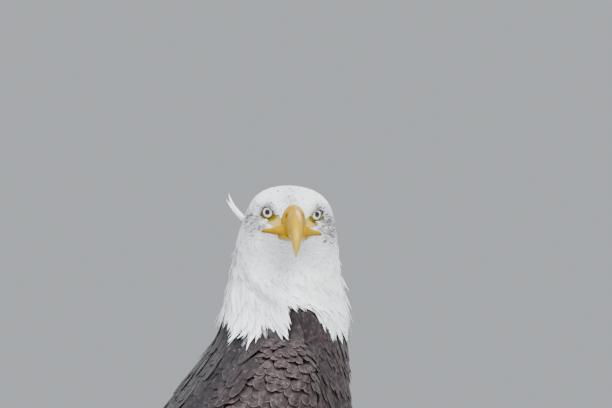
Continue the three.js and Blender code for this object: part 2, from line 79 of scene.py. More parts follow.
MM = 0.001
FULL_TURN = 2 * math.pi
TINY = 1e-12
CROWN = CAD_BOX[1][2]
HEAD_BASE = CROWN - 0.06
SIDES = {"L": 1, "R": -1}
SEED = 20
# The flat sole that the record gives lies 104 mm behind the middle of the neck.
SOLE_FORWARD = -104.0
SOLE = next(m for m in frame["record"]["mounts"] if m["name"] == "left_sole")
MIDDLE = SOLE["pos_m"][1] + SOLE_FORWARD * MM


# ---- Arithmetic on whole arrays ----


def unit(vectors: Array) -> Array:
    """Vectors divided by their lengths."""
    return vectors / np.maximum(np.linalg.norm(vectors, axis=-1, keepdims=True), TINY)


def smooth(value: Array, low: float, high: float) -> Array:
    """A soft step: 0 below low, 1 above high and 3t^2 - 2t^3 between them."""
    share = np.clip((value - low) / (high - low), 0, 1)
    return share * share * (3 - 2 * share)


def signed_power(value: Array, power: Array) -> Array:
    """A power of the size of each value, with the value's sign."""
    return np.sign(value) * np.abs(value) ** power


def bell(value: Array, width: float, power: int = 2) -> Array:
    """The exponential of minus a power of value over width: 1 at zero, and 0 far from it."""
    return np.exp(-((value / width) ** power))


def circle(count: int) -> Array:
    """Evenly spaced angles round a circle."""
    return np.linspace(0, FULL_TURN, count + 1)[:-1]


def running(values: Array) -> Array:
    """The running total of a row of values, by trapezoids."""
    return np.concatenate([[0], np.cumsum((values[1:] + values[:-1]) / 2)])


def spline(values: Sequence, position: Array) -> Array:
    """A smooth curve through rows of values.

    The formula is the uniform Catmull-Rom one: between two rows it is the cubic through both
    that leaves each along the line joining its neighbours.

    Args:
        values: Rows of one or more numbers.
        position: Where to read the curve, counted in rows.

    Returns:
        One row for each position.
    """
    rows = np.asarray(values, float)
    last = len(rows) - 1
    cell = np.clip(np.floor(position).astype(int), 0, last - 1)
    share = position - cell
    if rows.ndim > 1:
        share = share[..., None]
    before, here = rows[np.maximum(cell - 1, 0)], rows[cell]
    there, after = rows[cell + 1], rows[np.minimum(cell + 2, last)]
    leave, arrive = (there - before) / 2, (after - here) / 2
    cubic = 2 * here - 2 * there + leave + arrive
    square = 3 * (there - here) - 2 * leave - arrive
    return ((cubic * share + square) * share + leave) * share + here


def bezier(points: Sequence, share: Array) -> Array:
    """A Bezier curve: the sum of the points, each times its Bernstein polynomial of the share."""
    rows = np.asarray(points, float)
    degree = len(rows) - 1
    weights = [
        math.comb(degree, i) * share**i * (1 - share) ** (degree - i) for i in range(degree + 1)
    ]
    return np.stack(weights, -1) @ rows


def ripple(points: Array, size: float, seed: int) -> Array:
    """Smooth noise from -1 to 1: the mean of five sine waves across random directions.

    Args:
        points: Places in metres.
        size: The usual width of a patch, in metres.
        seed: Chooses the directions.

    Returns:
        One value for each place.
    """
    rng = np.random.default_rng(seed)
    ways = unit(rng.normal(size=(5, 3))) * rng.uniform(0.7, 1.4, (5, 1)) * math.pi / size
    phases = rng.uniform(0, FULL_TURN, 5)
    return np.sin(points @ ways.T + phases).mean(-1) * 1.6


def place(side: Array, forward: Array, height: Array) -> Array:
    """A sideways distance and a profile point in the frame's own axes, in metres."""
    return np.stack([side * MM, MIDDLE - forward * MM, CROWN + height * MM], -1)


def height_of(points: Array) -> Array:
    """Heights from the crown, in millimetres."""
    return (points[..., 2] - CROWN) / MM


# ---- Pose of the head ----

HEAD_TURN = math.radians(95)
HEAD_TILT = math.radians(3)
PIVOT = place(0.0, -5.5, -60.0)
HEAD_POSE = Matrix.Rotation(-HEAD_TURN, 3, "Z") @ Matrix.Rotation(HEAD_TILT, 3, "Y")


def turned(points: Array, share: Union[float, Array] = 1.0) -> Array:
    """Points moved by a share of the head's turn about its pivot, by Rodrigues' formula."""
    axis, angle = HEAD_POSE.to_quaternion().to_axis_angle()
    axis = np.array(axis)
    angle = np.asarray(angle * share)[..., None]
    arms = points - PIVOT
    around = np.cross(axis, arms)
    along = (arms @ axis)[..., None] * axis
    return PIVOT + arms * np.cos(angle) + around * np.sin(angle) + along * (1 - np.cos(angle))


# ---- Surfaces that feathers lie on ----


class Surface:
    """A surface worked out from two parameters: u runs down the bird and v round it.

    Attributes:
        end: The last u.
        facing: 1 where v runs so that the slopes' product points outwards, and -1 elsewhere.
        coat: The depth of the feathers over the skin, in millimetres.
    """

    end: float = 1.0
    facing: float = 1.0
    coat: float = 9.0

    def coat_depth(self, u: Array) -> Array:
        """The coat's depth at each u."""
        return np.full(np.shape(u), self.coat)

    def at(self, u: Array, v: Array, coat: float = 1.0) -> Array:
        """Points of the surface, in metres.

        Args:
            u: Positions down the form.
            v: Angles round it.
            coat: The share of the coat's depth to lie under the feathers' tips.
        """
        raise NotImplementedError

    def frames(self, u: Array, v: Array) -> tuple[Array, Array, Array, Array]:
        """Where the skin is and how it lies, from differences over a small step and their product.

        Args:
            u: Positions down the form.
            v: Angles round it.

        Returns:
            Points, slopes in u, slopes in v, and unit normals that point outwards.
        """
        step = 0.004
        before, after = np.maximum(u - step, 0), np.minimum(u + step, self.end)
        down = (self.at(after, v) - self.at(before, v)) / (after - before)[..., None]
        round_ = (self.at(u, v + step) - self.at(u, v - step)) / (2 * step)
        return self.at(u, v), down, round_, unit(np.cross(round_, down)) * self.facing


@dataclass(frozen=True)
class Station:
    """One cross-section of a form.

    Attributes:
        top: The point of the upper outline.
        base: The point of the lower outline.
        half: Half the width.
        square: The powers of the rounding above and below: 2 is an ellipse, more is squarer.
        flare: How much wider it is below than above.
        turn: The share of the head's turn that it takes.
        coat: The depth of the feathers over the skin.
    """

    top: Pair
    base: Pair
    half: float
    square: Pair = (2.1, 2.1)
    flare: float = 0.0
    turn: float = 0.0
    coat: float = 0.0


@dataclass(frozen=True)
class Form:
    """A ridge or hollow on both sides, along a line between two points [side, forward, height]."""

    start: Place
    end: Place
    reach: float
    rise: float

    def lift(self, points: Array) -> Array:
        """The rise at each point: a bell curve of its distance from the line."""
        start, line = np.array(self.start), np.subtract(self.end, self.start)
        share = np.clip((points - start) @ line / (line @ line), 0, 1)[..., None]
        gap = points - start - share * line
        return self.rise * np.exp(-np.sum(gap * gap, -1) / self.reach**2)


class Loft(Surface):
    """A form through stations, each a rounded section between two points of its profile."""

    def __init__(self, stations: Sequence[Station], forms: Sequence[Form] = ()) -> None:
        """Keeps the stations, from the head to the tail, as arrays, and the ridges and hollows."""
        self.rows = {name: [getattr(s, name) for s in stations] for name in Station.__annotations__}
        self.forms = forms
        self.end = len(stations) - 1.0

    def coat_depth(self, u: Array) -> Array:
        """The coat's depth at each u."""
        return spline(self.rows["coat"], u)

    def at(self, u: Array, v: Array, coat: float = 1.0) -> Array:
        """Points of the form, in metres.

        A section's point is at angle v from the top: up is the cosine and out the sine, each to
        the power that squares the section. The point then moves straight out by its forms' lift
        less the coat, and by its share of the head's turn.

        Args:
            u: Positions counted in stations.
            v: Angles round the section, with the bird's left side at a quarter turn.
            coat: The share of the coat's depth to lie under the feathers' tips.
        """
        u, v = np.broadcast_arrays(u, v)
        top, base, square = (spline(self.rows[name], u) for name in ("top", "base", "square"))
        half, flare, turn = (spline(self.rows[name], u) for name in ("half", "flare", "turn"))
        rise = (top - base) / 2
        size = np.linalg.norm(rise, axis=-1)
        power = 2 / np.where(np.cos(v) > 0, square[..., 0], square[..., 1])
        up = signed_power(np.cos(v), power)
        out = signed_power(np.sin(v), power) * (1 - flare * up)
        outline = np.stack([out * half, up * size], -1)
        profile = (top + base) / 2 + rise * up[..., None]
        swell = -coat * self.coat_depth(u)
        relief = np.stack([np.abs(outline[..., 0]), profile[..., 0], profile[..., 1]], -1)
        for form in self.forms:
            swell = swell + form.lift(relief)
        push = unit(outline) * swell[..., None]
        profile = profile + rise * (push[..., 1] / size)[..., None]
        points = place(outline[..., 0] + push[..., 0], profile[..., 0], profile[..., 1])
        return turned(points, np.clip(turn, 0, 1))


BODY_STATIONS = (
    Station((60, -19), (64, -50), 14, (2.2, 2.2), 0.25, 1, 0.4),
    Station((53, -13), (57, -58), 22.5, (2.3, 2.3), 0.18, 1, 1),
    Station((38, -4.5), (48, -67), 33, (2.4, 2.4), 0.05, 1, 2),
    Station((18, 0), (43, -77), 42.5, (2.6, 2.6), 0, 1, 3),
    Station((-6, -4), (42, -88), 46, (2.5, 2.5), 0, 1, 4),
    Station((-28, -20), (46, -101), 49.5, (2.4, 2.4), 0, 1, 5.5),
    Station((-49, -53), (52, -118), 56, (2.3, 2.3), 0, 0.74, 8),
    Station((-63, -97), (57, -138), 59, (2.2, 2.2), 0, 0.32, 9.5),
    Station((-78, -150), (58, -167), 64, coat=11),
    Station((-104, -194), (61, -208), 80, coat=12),
    Station((-138, -240), (65, -264), 88, coat=13),
    Station((-174, -290), (50, -318), 90, coat=13),
    Station((-208, -334), (14, -366), 86, coat=13),
    Station((-238, -368), (-42, -404), 76, coat=12),
    Station((-264, -394), (-118, -432), 58, coat=11),
    Station((-286, -412), (-200, -446), 42, (2.2, 2.2), coat=9),
    Station((-312, -436), (-276, -466), 31, (2.4, 2.4), coat=8),
)
BODY_FORMS = (
    Form((12, 57, -14), (31, 32, -16), 7, 4),
    Form((15, 54, -19.5), (31, 34, -18.5), 3.2, 2.6),
    Form((27, 41, -26), (26, 43, -26), 9, -10),
    Form((24, 46, -30), (15, 58, -33), 8, -3.5),
    Form((40, 22, -50), (44, 2, -58), 16, 2.5),
    Form((0, 30, -2), (0, 4, -1), 17, 1.3),
    Form((58, -58, -178), (56, -205, -362), 30, 17),
)


@dataclass
class Wing(Surface):
    """One folded wing: rounded sections across its middle line, leaning in over the back.

    Attributes:
        side: 1 for the bird's left wing and -1 for its right.
        spine: The control points of the middle line [forward, height].
        halves: Half breadths, at even places from the bend to the tip.
        thick: Half thicknesses there.
        out: How far the middle line lies from the middle of the bird there.
        lean: How far the sections lean in there, in degrees.
        bend: The share of the length that rounds the bend.
        tip: The share that rounds the tip.
        tip_cut: How far that rounding goes.
        square: The power that squares the sections.
        coat: The depth of the feathers over the skin.
    """

    side: int
    spine: tuple = ((-20, -148), (-16, -268), (-210, -388), (-456, -562))
    halves: tuple = (40, 48, 63, 69, 66, 56, 43, 30, 19)
    thick: tuple = (29, 32, 32, 29, 25, 19, 12, 7, 3.5)
    out: tuple = (74, 76, 77, 75, 68, 54, 41, 31, 27)
    lean: tuple = (8, 12, 20, 30, 41, 49, 55, 60, 62)
    bend: float = 0.08
    tip: float = 0.07
    tip_cut: float = 0.92
    square: float = 0.9
    coat: float = 7.0

    def __post_init__(self) -> None:
        """Measures the middle line."""
        self.facing = float(self.side)
        shares = np.linspace(0, 1, 401)
        points = bezier(self.spine, shares)
        lengths = np.linalg.norm(np.diff(points, axis=0), axis=-1)
        self.shares = shares
        self.travel = np.concatenate([[0], np.cumsum(lengths)])
        self.length = self.travel[-1]

    def coat_depth(self, u: Array) -> Array:
        """The coat's depth at each u, less towards the tip."""
        return self.coat * smooth(u, 1.0, 0.5)

    def line(self, u: Array) -> Array:
        """The middle line at shares of its length."""
        return bezier(self.spine, np.interp(u * self.length, self.travel, self.shares))

    def at(self, u: Array, v: Array, coat: float = 1.0) -> Array:
        """Points of the wing: across is a half breadth times the cosine of v, out the thickness
        times its sine, turned by the lean about the middle line.

        Args:
            u: Shares of the wing's length, from its bend to its tip.
            v: Angles round the section; the outer side is at a quarter turn.
            coat: The share of the coat's depth to lie under the feathers' tips.
        """
        u, v = np.broadcast_arrays(u, v)
        row = u * (len(self.halves) - 1)
        bend = np.sqrt(1 - (1 - np.clip(u / self.bend, 0, 1)) ** 2)
        tip = np.clip((u - 1 + self.tip) / self.tip, 0, 1) * self.tip_cut
        sink = coat * self.coat_depth(u)
        half = spline(self.halves, row) * bend * np.sqrt(1 - tip**2) - sink
        thick = spline(self.thick, row) * bend - sink
        lean = np.radians(spline(self.lean, row))
        step = 1e-3
        low, high = np.clip(u - step, 0, 1), np.clip(u + step, 0, 1)
        tangent = unit(self.line(high) - self.line(low))
        across = np.maximum(half, 0.3) * signed_power(np.cos(v), self.square)
        out = np.maximum(thick, 0.3) * signed_power(np.sin(v), self.square)
        rise = across * np.cos(lean) + out * np.sin(lean)
        centre = self.line(u)
        forward = centre[..., 0] + tangent[..., 1] * rise
        height = centre[..., 1] - tangent[..., 0] * rise
        sideways = spline(self.out, row) + out * np.cos(lean) - across * np.sin(lean)
        return place(self.side * sideways, forward, height)

    def inside(self, u: Array, across: Array, depth: Array) -> Array:
        """Points inside the blade, between the two sides of its outline, in metres.

        Args:
            u: Shares of the wing's length.
            across: Shares of the half breadth, from its lower edge to its upper one.
            depth: Shares of the half thickness, outwards.
        """
        angle = np.arccos(np.clip(across, -1, 1))
        outer, inner = self.at(u, angle, 0.0), self.at(u, -angle, 0.0)
        return outer * ((1 + depth) / 2)[..., None] + inner * ((1 - depth) / 2)[..., None]


@dataclass
class Thigh(Surface):
    """One feathered leg: level ovals down its middle.

    Attributes:
        side: 1 for the bird's left leg and -1 for its right.
        levels: Rows of height over the floor, the middle's forward and sideways places, and half
            the oval's width and length.
    """

    side: int
    levels: tuple = (
        (275, -88, 46, 36, 58),
        (225, -84, 50, 41, 61),
        (175, -92, 53, 39, 53),
        (130, -108, 55, 32, 41),
        (90, -121, 56, 25, 31),
        (64, -124, 56, 17, 20),
    )

    def __post_init__(self) -> None:
        """Counts the levels, and says that their slopes' product points inwards."""
        self.facing = -1.0
        self.end = len(self.levels) - 1.0

    def at(self, u: Array, v: Array, coat: float = 1.0) -> Array:
        """Points of level ovals, in metres: v counts round from the bird's left side.

        Args:
            u: Positions counted in levels, downwards.
            v: Angles round the oval.
            coat: The share of the coat's depth to lie under the feathers' tips.
        """
        u, v = np.broadcast_arrays(u, v)
        height, forward, middle, across, fore = np.moveaxis(spline(self.levels, u), -1, 0)
        sink = coat * self.coat_depth(u)
        side = self.side * middle + (across - sink) * np.cos(v)
        return place(side, forward - (fore - sink) * np.sin(v), height - CROWN / MM)


# ---- Meshes ----


def flat(values: Array, kind: type) -> Array:
    """All the numbers of an array in one row, as Blender takes them."""
    return np.ascontiguousarray(values, kind).ravel()


def read(rows: Any, label: str, width: int, kind: type = np.int32) -> Array:
    """One number or row of numbers from each item of a mesh's collection."""
    values = np.empty(len(rows) * width, kind)
    rows.foreach_get(label, values)
    return values.reshape(-1, width)


def mesh_points(piece: Piece) -> Array:
    """The vertices of a piece."""
    return read(piece.data.vertices, "co", 3, np.float32).astype(float)


def add_object(name: str, data: Any) -> Piece:
    """An object with its data, linked to the scene."""
    made = bpy.data.objects.new(name, data)
    bpy.context.scene.collection.objects.link(made)
    return made


def make_piece(name: str, points: Array, faces: Array, fields: Optional[dict] = None) -> Piece:
    """A mesh object from whole arrays.

    Args:
        name: The piece's name.
        points: Its vertices, in metres.
        faces: Rows of vertex numbers, all of one size.
        fields: Named values for each vertex, numbers or triples.

    Returns:
        The object, linked to the scene.
    """
    mesh = bpy.data.meshes.new(name)
    mesh.vertices.add(len(points))
    mesh.vertices.foreach_set("co", flat(points, np.float32))
    mesh.loops.add(faces.size)
    mesh.loops.foreach_set("vertex_index", flat(faces, np.int32))
    mesh.polygons.add(len(faces))
    starts = np.arange(0, faces.size, faces.shape[1], dtype=np.int32)
    mesh.polygons.foreach_set("loop_start", starts)
    mesh.polygons.foreach_set("use_smooth", np.ones(len(faces), bool))
    for label, values in (fields or {}).items():
        add_field(mesh, label, values)
    mesh.update(calc_edges=True)
    return add_object(name, mesh)


def add_field(mesh: bpy.types.Mesh, label: str, values: Array) -> None:
    """Adds a value or a triple for each vertex, under a name that materials read."""
    kind, key = ("FLOAT_VECTOR", "vector") if values.ndim > 1 else ("FLOAT", "value")
    mesh.attributes.new(label, kind, "POINT").data.foreach_set(key, flat(values, np.float32))


def add_unwrap(piece: Piece, places: Array) -> None:
    """Adds the UV map that the baked textures use, from one place for each vertex."""
    corners = read(piece.data.loops, "vertex_index", 1)[:, 0]
    layer = piece.data.uv_layers.new(name="OFBake")
    layer.data.foreach_set("uv", flat(places[corners], np.float32))


def grid_faces(rows: int, columns: int) -> Array:
    """Quads between neighbouring rows of a grid that closes on itself across its rows."""
    row = np.arange(rows - 1)[:, None]
    column = np.arange(columns)[None, :]
    after = (column + 1) % columns
    quad = [row * columns + column, row * columns + after]
    quad += [(row + 1) * columns + after, (row + 1) * columns + column]
    return np.stack(np.broadcast_arrays(*quad), -1).reshape(-1, 4)


def cap_faces(ring: Array) -> Array:
    """Quads across a ring of an even number of vertices, in the ring's own sense."""
    count = len(ring)
    j = np.arange(count // 2 - 1)
    return np.stack([ring[j], ring[j + 1], ring[count - 2 - j], ring[count - 1 - j]], -1)


def tube(rings: Array) -> tuple[Array, Array]:
    """The vertices and quads of a skin through rows of rings, with both ends capped."""
    rows, columns = rings.shape[:2]
    first = cap_faces(np.arange(columns))[:, ::-1]
    last = cap_faces((rows - 1) * columns + np.arange(columns))
    faces = np.concatenate([grid_faces(rows, columns), first, last])
    return rings.reshape(-1, 3), faces


def face_outwards(piece: Piece) -> None:
    """Turns a closed mesh's faces round if the volume in them comes out negative."""
    piece.data.calc_loop_triangles()
    corners = read(piece.data.loop_triangles, "vertices", 3)
    a, b, c = np.moveaxis(mesh_points(piece)[corners], 1, 0)
    if np.sum(a * np.cross(b, c)) < 0:
        piece.data.flip_normals()


def shell(name: str, rings: Array, fields: Optional[dict] = None) -> Piece:
    """A closed piece through rows of rings, with its faces outwards.

    Args:
        name: The piece's name.
        rings: Its points, with one row for each ring.
        fields: Named values for each vertex, numbers or triples.

    Returns:
        The piece.
    """
    piece = make_piece(name, *tube(rings), fields)
    face_outwards(piece)
    return piece


# ---- Shader maths ----

Operand = Union["Signal", float]


def operator(operation: str, reflected: bool = False) -> Callable[..., "Signal"]:
    """A method of Signal that adds one Math node.

    Args:
        operation: The node's operation.
        reflected: Takes its two values the other way round.

    Returns:
        The method.
    """

    def method(self: "Signal", *others: Operand) -> "Signal":
        """The node's output."""
        values = (*others, self) if reflected else (self, *others)
        return self.math(operation, *values)

    return method


class Signal:
    """A node's output that takes part in sums: each operator adds one Math node."""

    def __init__(self, board: "Board", socket: bpy.types.NodeSocket) -> None:
        """Keeps the node tree's board and the output."""
        self.board = board
        self.socket = socket

    def math(self, operation: str, *values: Operand, clamp: bool = False) -> "Signal":
        """A Math node of these values."""
        settings = {"operation": operation, "use_clamp": clamp}
        return self.board.node("ShaderNodeMath", settings, dict(enumerate(values)))

    def clamped(self) -> "Signal":
        """The value kept between 0 and 1."""
        return self.math("ADD", self, 0.0, clamp=True)

    __add__ = __radd__ = operator("ADD")
    __mul__ = __rmul__ = operator("MULTIPLY")
    __sub__, __rsub__ = operator("SUBTRACT"), operator("SUBTRACT", reflected=True)
    __pow__, __abs__, sine = operator("POWER"), operator("ABSOLUTE"), operator("SINE")

    def step(self, low: float, high: float) -> "Signal":
        """A soft step from 0 at low to 1 at high; low may be above high."""
        settings = {"interpolation_type": "SMOOTHSTEP"}
        ends = (low, high, 0.0, 1.0) if low < high else (high, low, 1.0, 0.0)
        return self.board.node("ShaderNodeMapRange", settings, dict(enumerate((self, *ends))))


class Board:
    """One material's node tree."""

    def __init__(self, name: str) -> None:
        """Makes a material of this name, with its shader and output."""
        self.material = bpy.data.materials.new(name)
        self.material.use_nodes = True
        self.tree = self.material.node_tree
        self.shader = next(n for n in self.tree.nodes if n.type == "BSDF_PRINCIPLED")
        self.colour: Optional[Signal] = None

    def node(
        self,
        kind: str,
        settings: Optional[dict[str, Any]] = None,
        inputs: Optional[dict[Union[int, str], Any]] = None,
        output: Union[int, str] = 0,
    ) -> Signal:
        """Adds a node.

        Args:
            kind: The node's type.
            settings: Its own properties, which are set first.
            inputs: Values or signals for its sockets.
            output: Which output to give back.

        Returns:
            The output as a signal.
        """
        made = self.tree.nodes.new(kind)
        for key, value in (settings or {}).items():
            setattr(made, key, value)
        for key, value in (inputs or {}).items():
            self.feed(made.inputs[key], value)
        return Signal(self, made.outputs[output])

    def feed(self, socket: bpy.types.NodeSocket, value: Any) -> None:
        """Links a signal to a socket, or sets the socket's own value."""
        if isinstance(value, Signal):
            self.tree.links.new(value.socket, socket)
        elif isinstance(value, tuple) and len(value) == 3 and socket.type == "RGBA":
            socket.default_value = (*value, 1.0)
        else:
            socket.default_value = value

    def mix(self, first: Any, second: Any, factor: Any) -> Signal:
        """A colour between two colours."""
        settings = {"data_type": "RGBA", "clamp_factor": True}
        return self.node("ShaderNodeMix", settings, {0: factor, 6: first, 7: second}, 2)

    def paint(self, colour: Any, factor: Any) -> None:
        """Lays a colour over what is painted so far, by a factor."""
        self.colour = self.mix(self.colour, colour, factor)

    def field(self, label: str, output: str = "Fac") -> Signal:
        """A field of the mesh, as a number or as its Vector."""
        settings = {"attribute_name": label, "attribute_type": "GEOMETRY"}
        return self.node("ShaderNodeAttribute", settings, output=output)

    def parts(self, label: str) -> tuple[Signal, Signal, Signal]:
        """The three numbers of a field of vectors."""
        inputs = {0: self.field(label, "Vector")}
        node = self.node("ShaderNodeSeparateXYZ", inputs=inputs).socket.node
        return tuple(Signal(self, node.outputs[i]) for i in range(3))

    def place(self) -> Signal:
        """The place in the frame, in metres."""
        return self.node("ShaderNodeTexCoord", output="Object")

    def noise(self, size: float, detail: float = 3.0, at: Optional[Signal] = None) -> Signal:
        """Cloudy noise with patches of a size in metres, from 0 to 1."""
        inputs = {"Vector": at or self.place(), "Scale": 1 / size, "Detail": detail}
        return self.node("ShaderNodeTexNoise", inputs=inputs)

    def cells(self, size: float) -> Signal:
        """Distance from the middle of each cell in a pattern of cells of a size in metres."""
        inputs = {"Vector": self.place(), "Scale": 1 / size}
        return self.node("ShaderNodeTexVoronoi", inputs=inputs)

    def bump(self, height: Signal, depth: float, strength: float = 1.0) -> None:
        """Lets a height between 0 and 1 roughen the surface by a depth in metres."""
        inputs = {"Height": height, "Distance": depth, "Strength": strength}
        normal = self.node("ShaderNodeBump", inputs=inputs)
        self.feed(self.shader.inputs["Normal"], normal)

    def dress(self, **values: Any) -> Material:
        """Feeds the colour and the shader's other sockets, with _ for a space in their names.

        Args:
            values: Values or signals for the sockets.

        Returns:
            The material.
        """
        for key, value in {"Base Color": self.colour, **values}.items():
            self.feed(self.shader.inputs[key.replace("_", " ")], value)
        return self.material


# ---- Finishes ----


@dataclass(frozen=True)
class Plumage:
    """Feathers: fields give the place on the vane and the feather's own tone.

    Attributes:
        name: The material's name.
        web: The colour of the vane.
        deep: Its colour in its darker streaks, and at the root, which is partly the feather's darker
            base and partly painted shade under the feathers that overlap it.
        rim: The colour of its edge.
        rim_width: How much of the half width the rim takes.
        barbs: How many barbs show along one vane.
        gloss: The roughness of the web.
        relief: How strongly the barbs roughen it.
        wear: How far it has faded in patches, towards the colour of its edge.
        dust: How much pale down clings to it in specks.
        mottle: How strongly darker and paler patches mark it.
    """

    name: str
    web: Colour
    deep: Colour
    rim: Colour
    rim_width: float = 0.2
    barbs: float = 26.0
    gloss: float = 0.62
    relief: float = 0.6
    wear: float = 0.0
    dust: float = 0.0
    mottle: float = 0.0

    def material(self) -> Material:
        """Colour from the rim, the shaft, the barbs and clouds of tone; bump from the barbs."""
        board = Board(self.name)
        along, across, chance = board.parts("vane")
        tone, fleck, pale = board.parts("look")
        outward = abs(across)
        barb = ((along * self.barbs - outward * 4.5 + chance * 9) * FULL_TURN).sine() * 0.5 + 0.5
        cloud = board.noise(0.009, 4.0)
        shade = (barb * 0.35 + cloud * 0.65).clamped()
        board.colour = board.mix(self.web, self.deep, (tone * 0.75 + shade * 0.5 - 0.25).clamped())
        # Darker towards the root: partly the feather's own base colour, partly painted shade where
        # overlapping feathers cover it.
        board.paint(self.deep, along.step(0.45, 0.0) * 0.5)
        board.paint(self.rim, board.noise(0.03, 4.0).step(0.45, 0.75) * self.wear)
        patch = board.noise(0.0045, 5.0)
        board.paint(self.deep, patch.step(0.52, 0.36) * self.mottle)
        board.paint(self.rim, patch.step(0.52, 0.70) * self.mottle * 0.7)
        edge = (outward ** 3.0 + along ** 7.0 + cloud * 0.2 - 0.1).step(1.0 - self.rim_width, 1.05)
        board.paint(self.rim, edge * pale)
        shaft = outward.step(0.09, 0.03) * along.step(1.0, 0.8)
        board.paint(self.deep, shaft * 0.55)
        streak = (board.noise(0.0014, 2.0) + fleck * 0.6 - outward * 0.7).step(0.34, 0.56)
        streak = streak * along.step(0.2, 0.5) * fleck.step(0.02, 0.2)
        board.paint((0.070, 0.060, 0.062), streak)
        speck = board.cells(0.007).step(0.10, 0.06) * board.noise(0.05, 2.0).step(0.5, 0.6)
        board.paint((0.50, 0.47, 0.46), speck * self.dust)
        board.bump(barb * 0.6 + outward.step(0.12, 0.0) * 0.6 + cloud * 0.3, 0.00025, self.relief)
        return board.dress(Roughness=self.gloss, Specular_IOR_Level=0.22, Sheen_Weight=0.08,
            Sheen_Roughness=0.5)


@dataclass(frozen=True)
class SkinFinish:
    """The skin under the coat, with the coat's own markings from a field."""

    name: str

    def material(self) -> Material:
        """White down, brown down and bare yellow skin, mixed by the fields of the markings."""
        board = Board(self.name)
        brown, bare, dark = board.parts("marks")
        grain = board.noise(0.0016, 4.0)
        board.colour = board.mix((0.78, 0.80, 0.86), (0.045, 0.036, 0.038), brown)
        lore = board.mix((0.50, 0.36, 0.03), (0.30, 0.25, 0.12), grain.step(0.35, 0.65))
        board.paint(lore, (bare * 2.0).clamped())
        board.paint((0.50, 0.37, 0.005), (bare * 2.0 - 1.0).clamped())
        # Dark lid rims and grey flecks; above each eye this is partly painted shade under the brow.
        board.paint((0.016, 0.012, 0.012), dark)
        board.bump(grain, 0.0004, 0.5)
        return board.dress(Roughness=0.7, Specular_IOR_Level=0.15)


@dataclass(frozen=True)
class Horn:
    """The bill's horn, from deep yellow at its base to a pale greyish hook."""

    name: str

    def material(self) -> Material:
        """Colour along the bill with faint growth lines, and a smooth clear gloss."""
        board = Board(self.name)
        along = board.field("along")
        grain = board.noise(0.004, 5.0)
        board.colour = board.mix((0.35, 0.19, 0.0), (0.39, 0.24, 0.0), along.step(0.1, 0.45))
        board.paint((0.42, 0.295, 0.03), along.step(0.45, 0.85))
        board.paint((0.38, 0.31, 0.20), along.step(0.84, 1.0) * 0.7)
        board.paint((0.31, 0.135, 0.0), grain.step(0.5, 0.75) * 0.5)
        lines = ((along * 34.0 + grain * 3.0) * FULL_TURN).sine() * 0.5 + 0.5
        board.bump(lines * 0.35 + grain, 0.00025, 0.3)
        return board.dress(Roughness=grain * 0.2 + 0.25, Specular_IOR_Level=0.15, Coat_Weight=0.25,
            Coat_Roughness=0.16)


@dataclass(frozen=True)
class SoftSkin:
    """Bare yellow skin: the cere, the lips of the mouth, and the legs and toes.

    Attributes:
        name: The material's name.
        base: Its main colour.
        shade: Its deeper colour, in patches; a quarter of it, going to near black, is painted shade in
            its creases.
        grain: The size of its grain, in metres.
        depth: The depth of its grain, in metres.
        gloss: Its roughness in the middle of its range.
    """

    name: str
    base: Colour
    shade: Colour
    grain: float
    depth: float
    gloss: float = 0.5

    def material(self) -> Material:
        """Colour from grain, painted shade from a crease field, and bump from cells."""
        board = Board(self.name)
        crease = board.field("crease").clamped()
        cloud = board.noise(self.grain * 6, 4.0)
        cell = board.cells(self.grain)
        shade = (cloud.step(0.35, 0.7) * 0.6 + cell * 0.25).clamped()
        board.colour = board.mix(self.base, self.shade, shade)
        # Painted shade: the creases (nostrils, mouth line, grooves between scutes) darken to near
        # black.
        board.paint(tuple(part * 0.25 for part in self.shade), crease)
        board.paint((0.012, 0.008, 0.006), crease.step(0.45, 0.7))
        board.bump(1 - cell + cloud * 0.4, self.depth, 0.6)
        rough = cloud * 0.2 + self.gloss - 0.1
        return board.dress(Roughness=rough, Specular_IOR_Level=0.12)


@dataclass(frozen=True)
class Talon:
    """Black claws, greyer at the root, with fine lines along them."""

    name: str

    def material(self) -> Material:
        """Near black with a pale haze of wear, under a clear gloss."""
        board = Board(self.name)
        along = board.field("along")
        grain = board.noise(0.003, 5.0)
        board.colour = board.mix((0.05, 0.045, 0.045), (0.010, 0.009, 0.010), along.step(0.0, 0.5))
        board.paint((0.12, 0.11, 0.11), grain.step(0.55, 0.8) * 0.35)
        board.bump(grain, 0.0002, 0.4)
        return board.dress(Roughness=grain * 0.25 + 0.2, Coat_Weight=0.3)


@dataclass(frozen=True)
class EyeFinish:
    """The eyeball: black pupil, cream iris with fine spokes, dark rim and a wet gloss."""

    name: str

    def material(self) -> Material:
        """Colour from the distance to the optical axis and the angle round it."""
        board = Board(self.name)
        radius, turn, depth = board.parts("iris")
        inputs = {0: turn * 9.0, 1: radius * 3.0, 2: depth}
        spokes = board.noise(0.9, 3.0, board.node("ShaderNodeCombineXYZ", inputs=inputs))
        streaks = spokes.step(0.42, 0.72) * 0.6
        board.colour = board.mix((0.84, 0.80, 0.68), (0.60, 0.56, 0.42), streaks)
        board.paint((0.42, 0.36, 0.20), radius.step(0.80, 0.98) * 0.8)
        board.paint((0.012, 0.010, 0.009), radius.step(1.0, 1.08))
        board.paint((0.004, 0.004, 0.005), radius.step(0.58, 0.53))
        return board.dress(Roughness=0.25, Coat_Weight=1.0, Coat_Roughness=0.02)


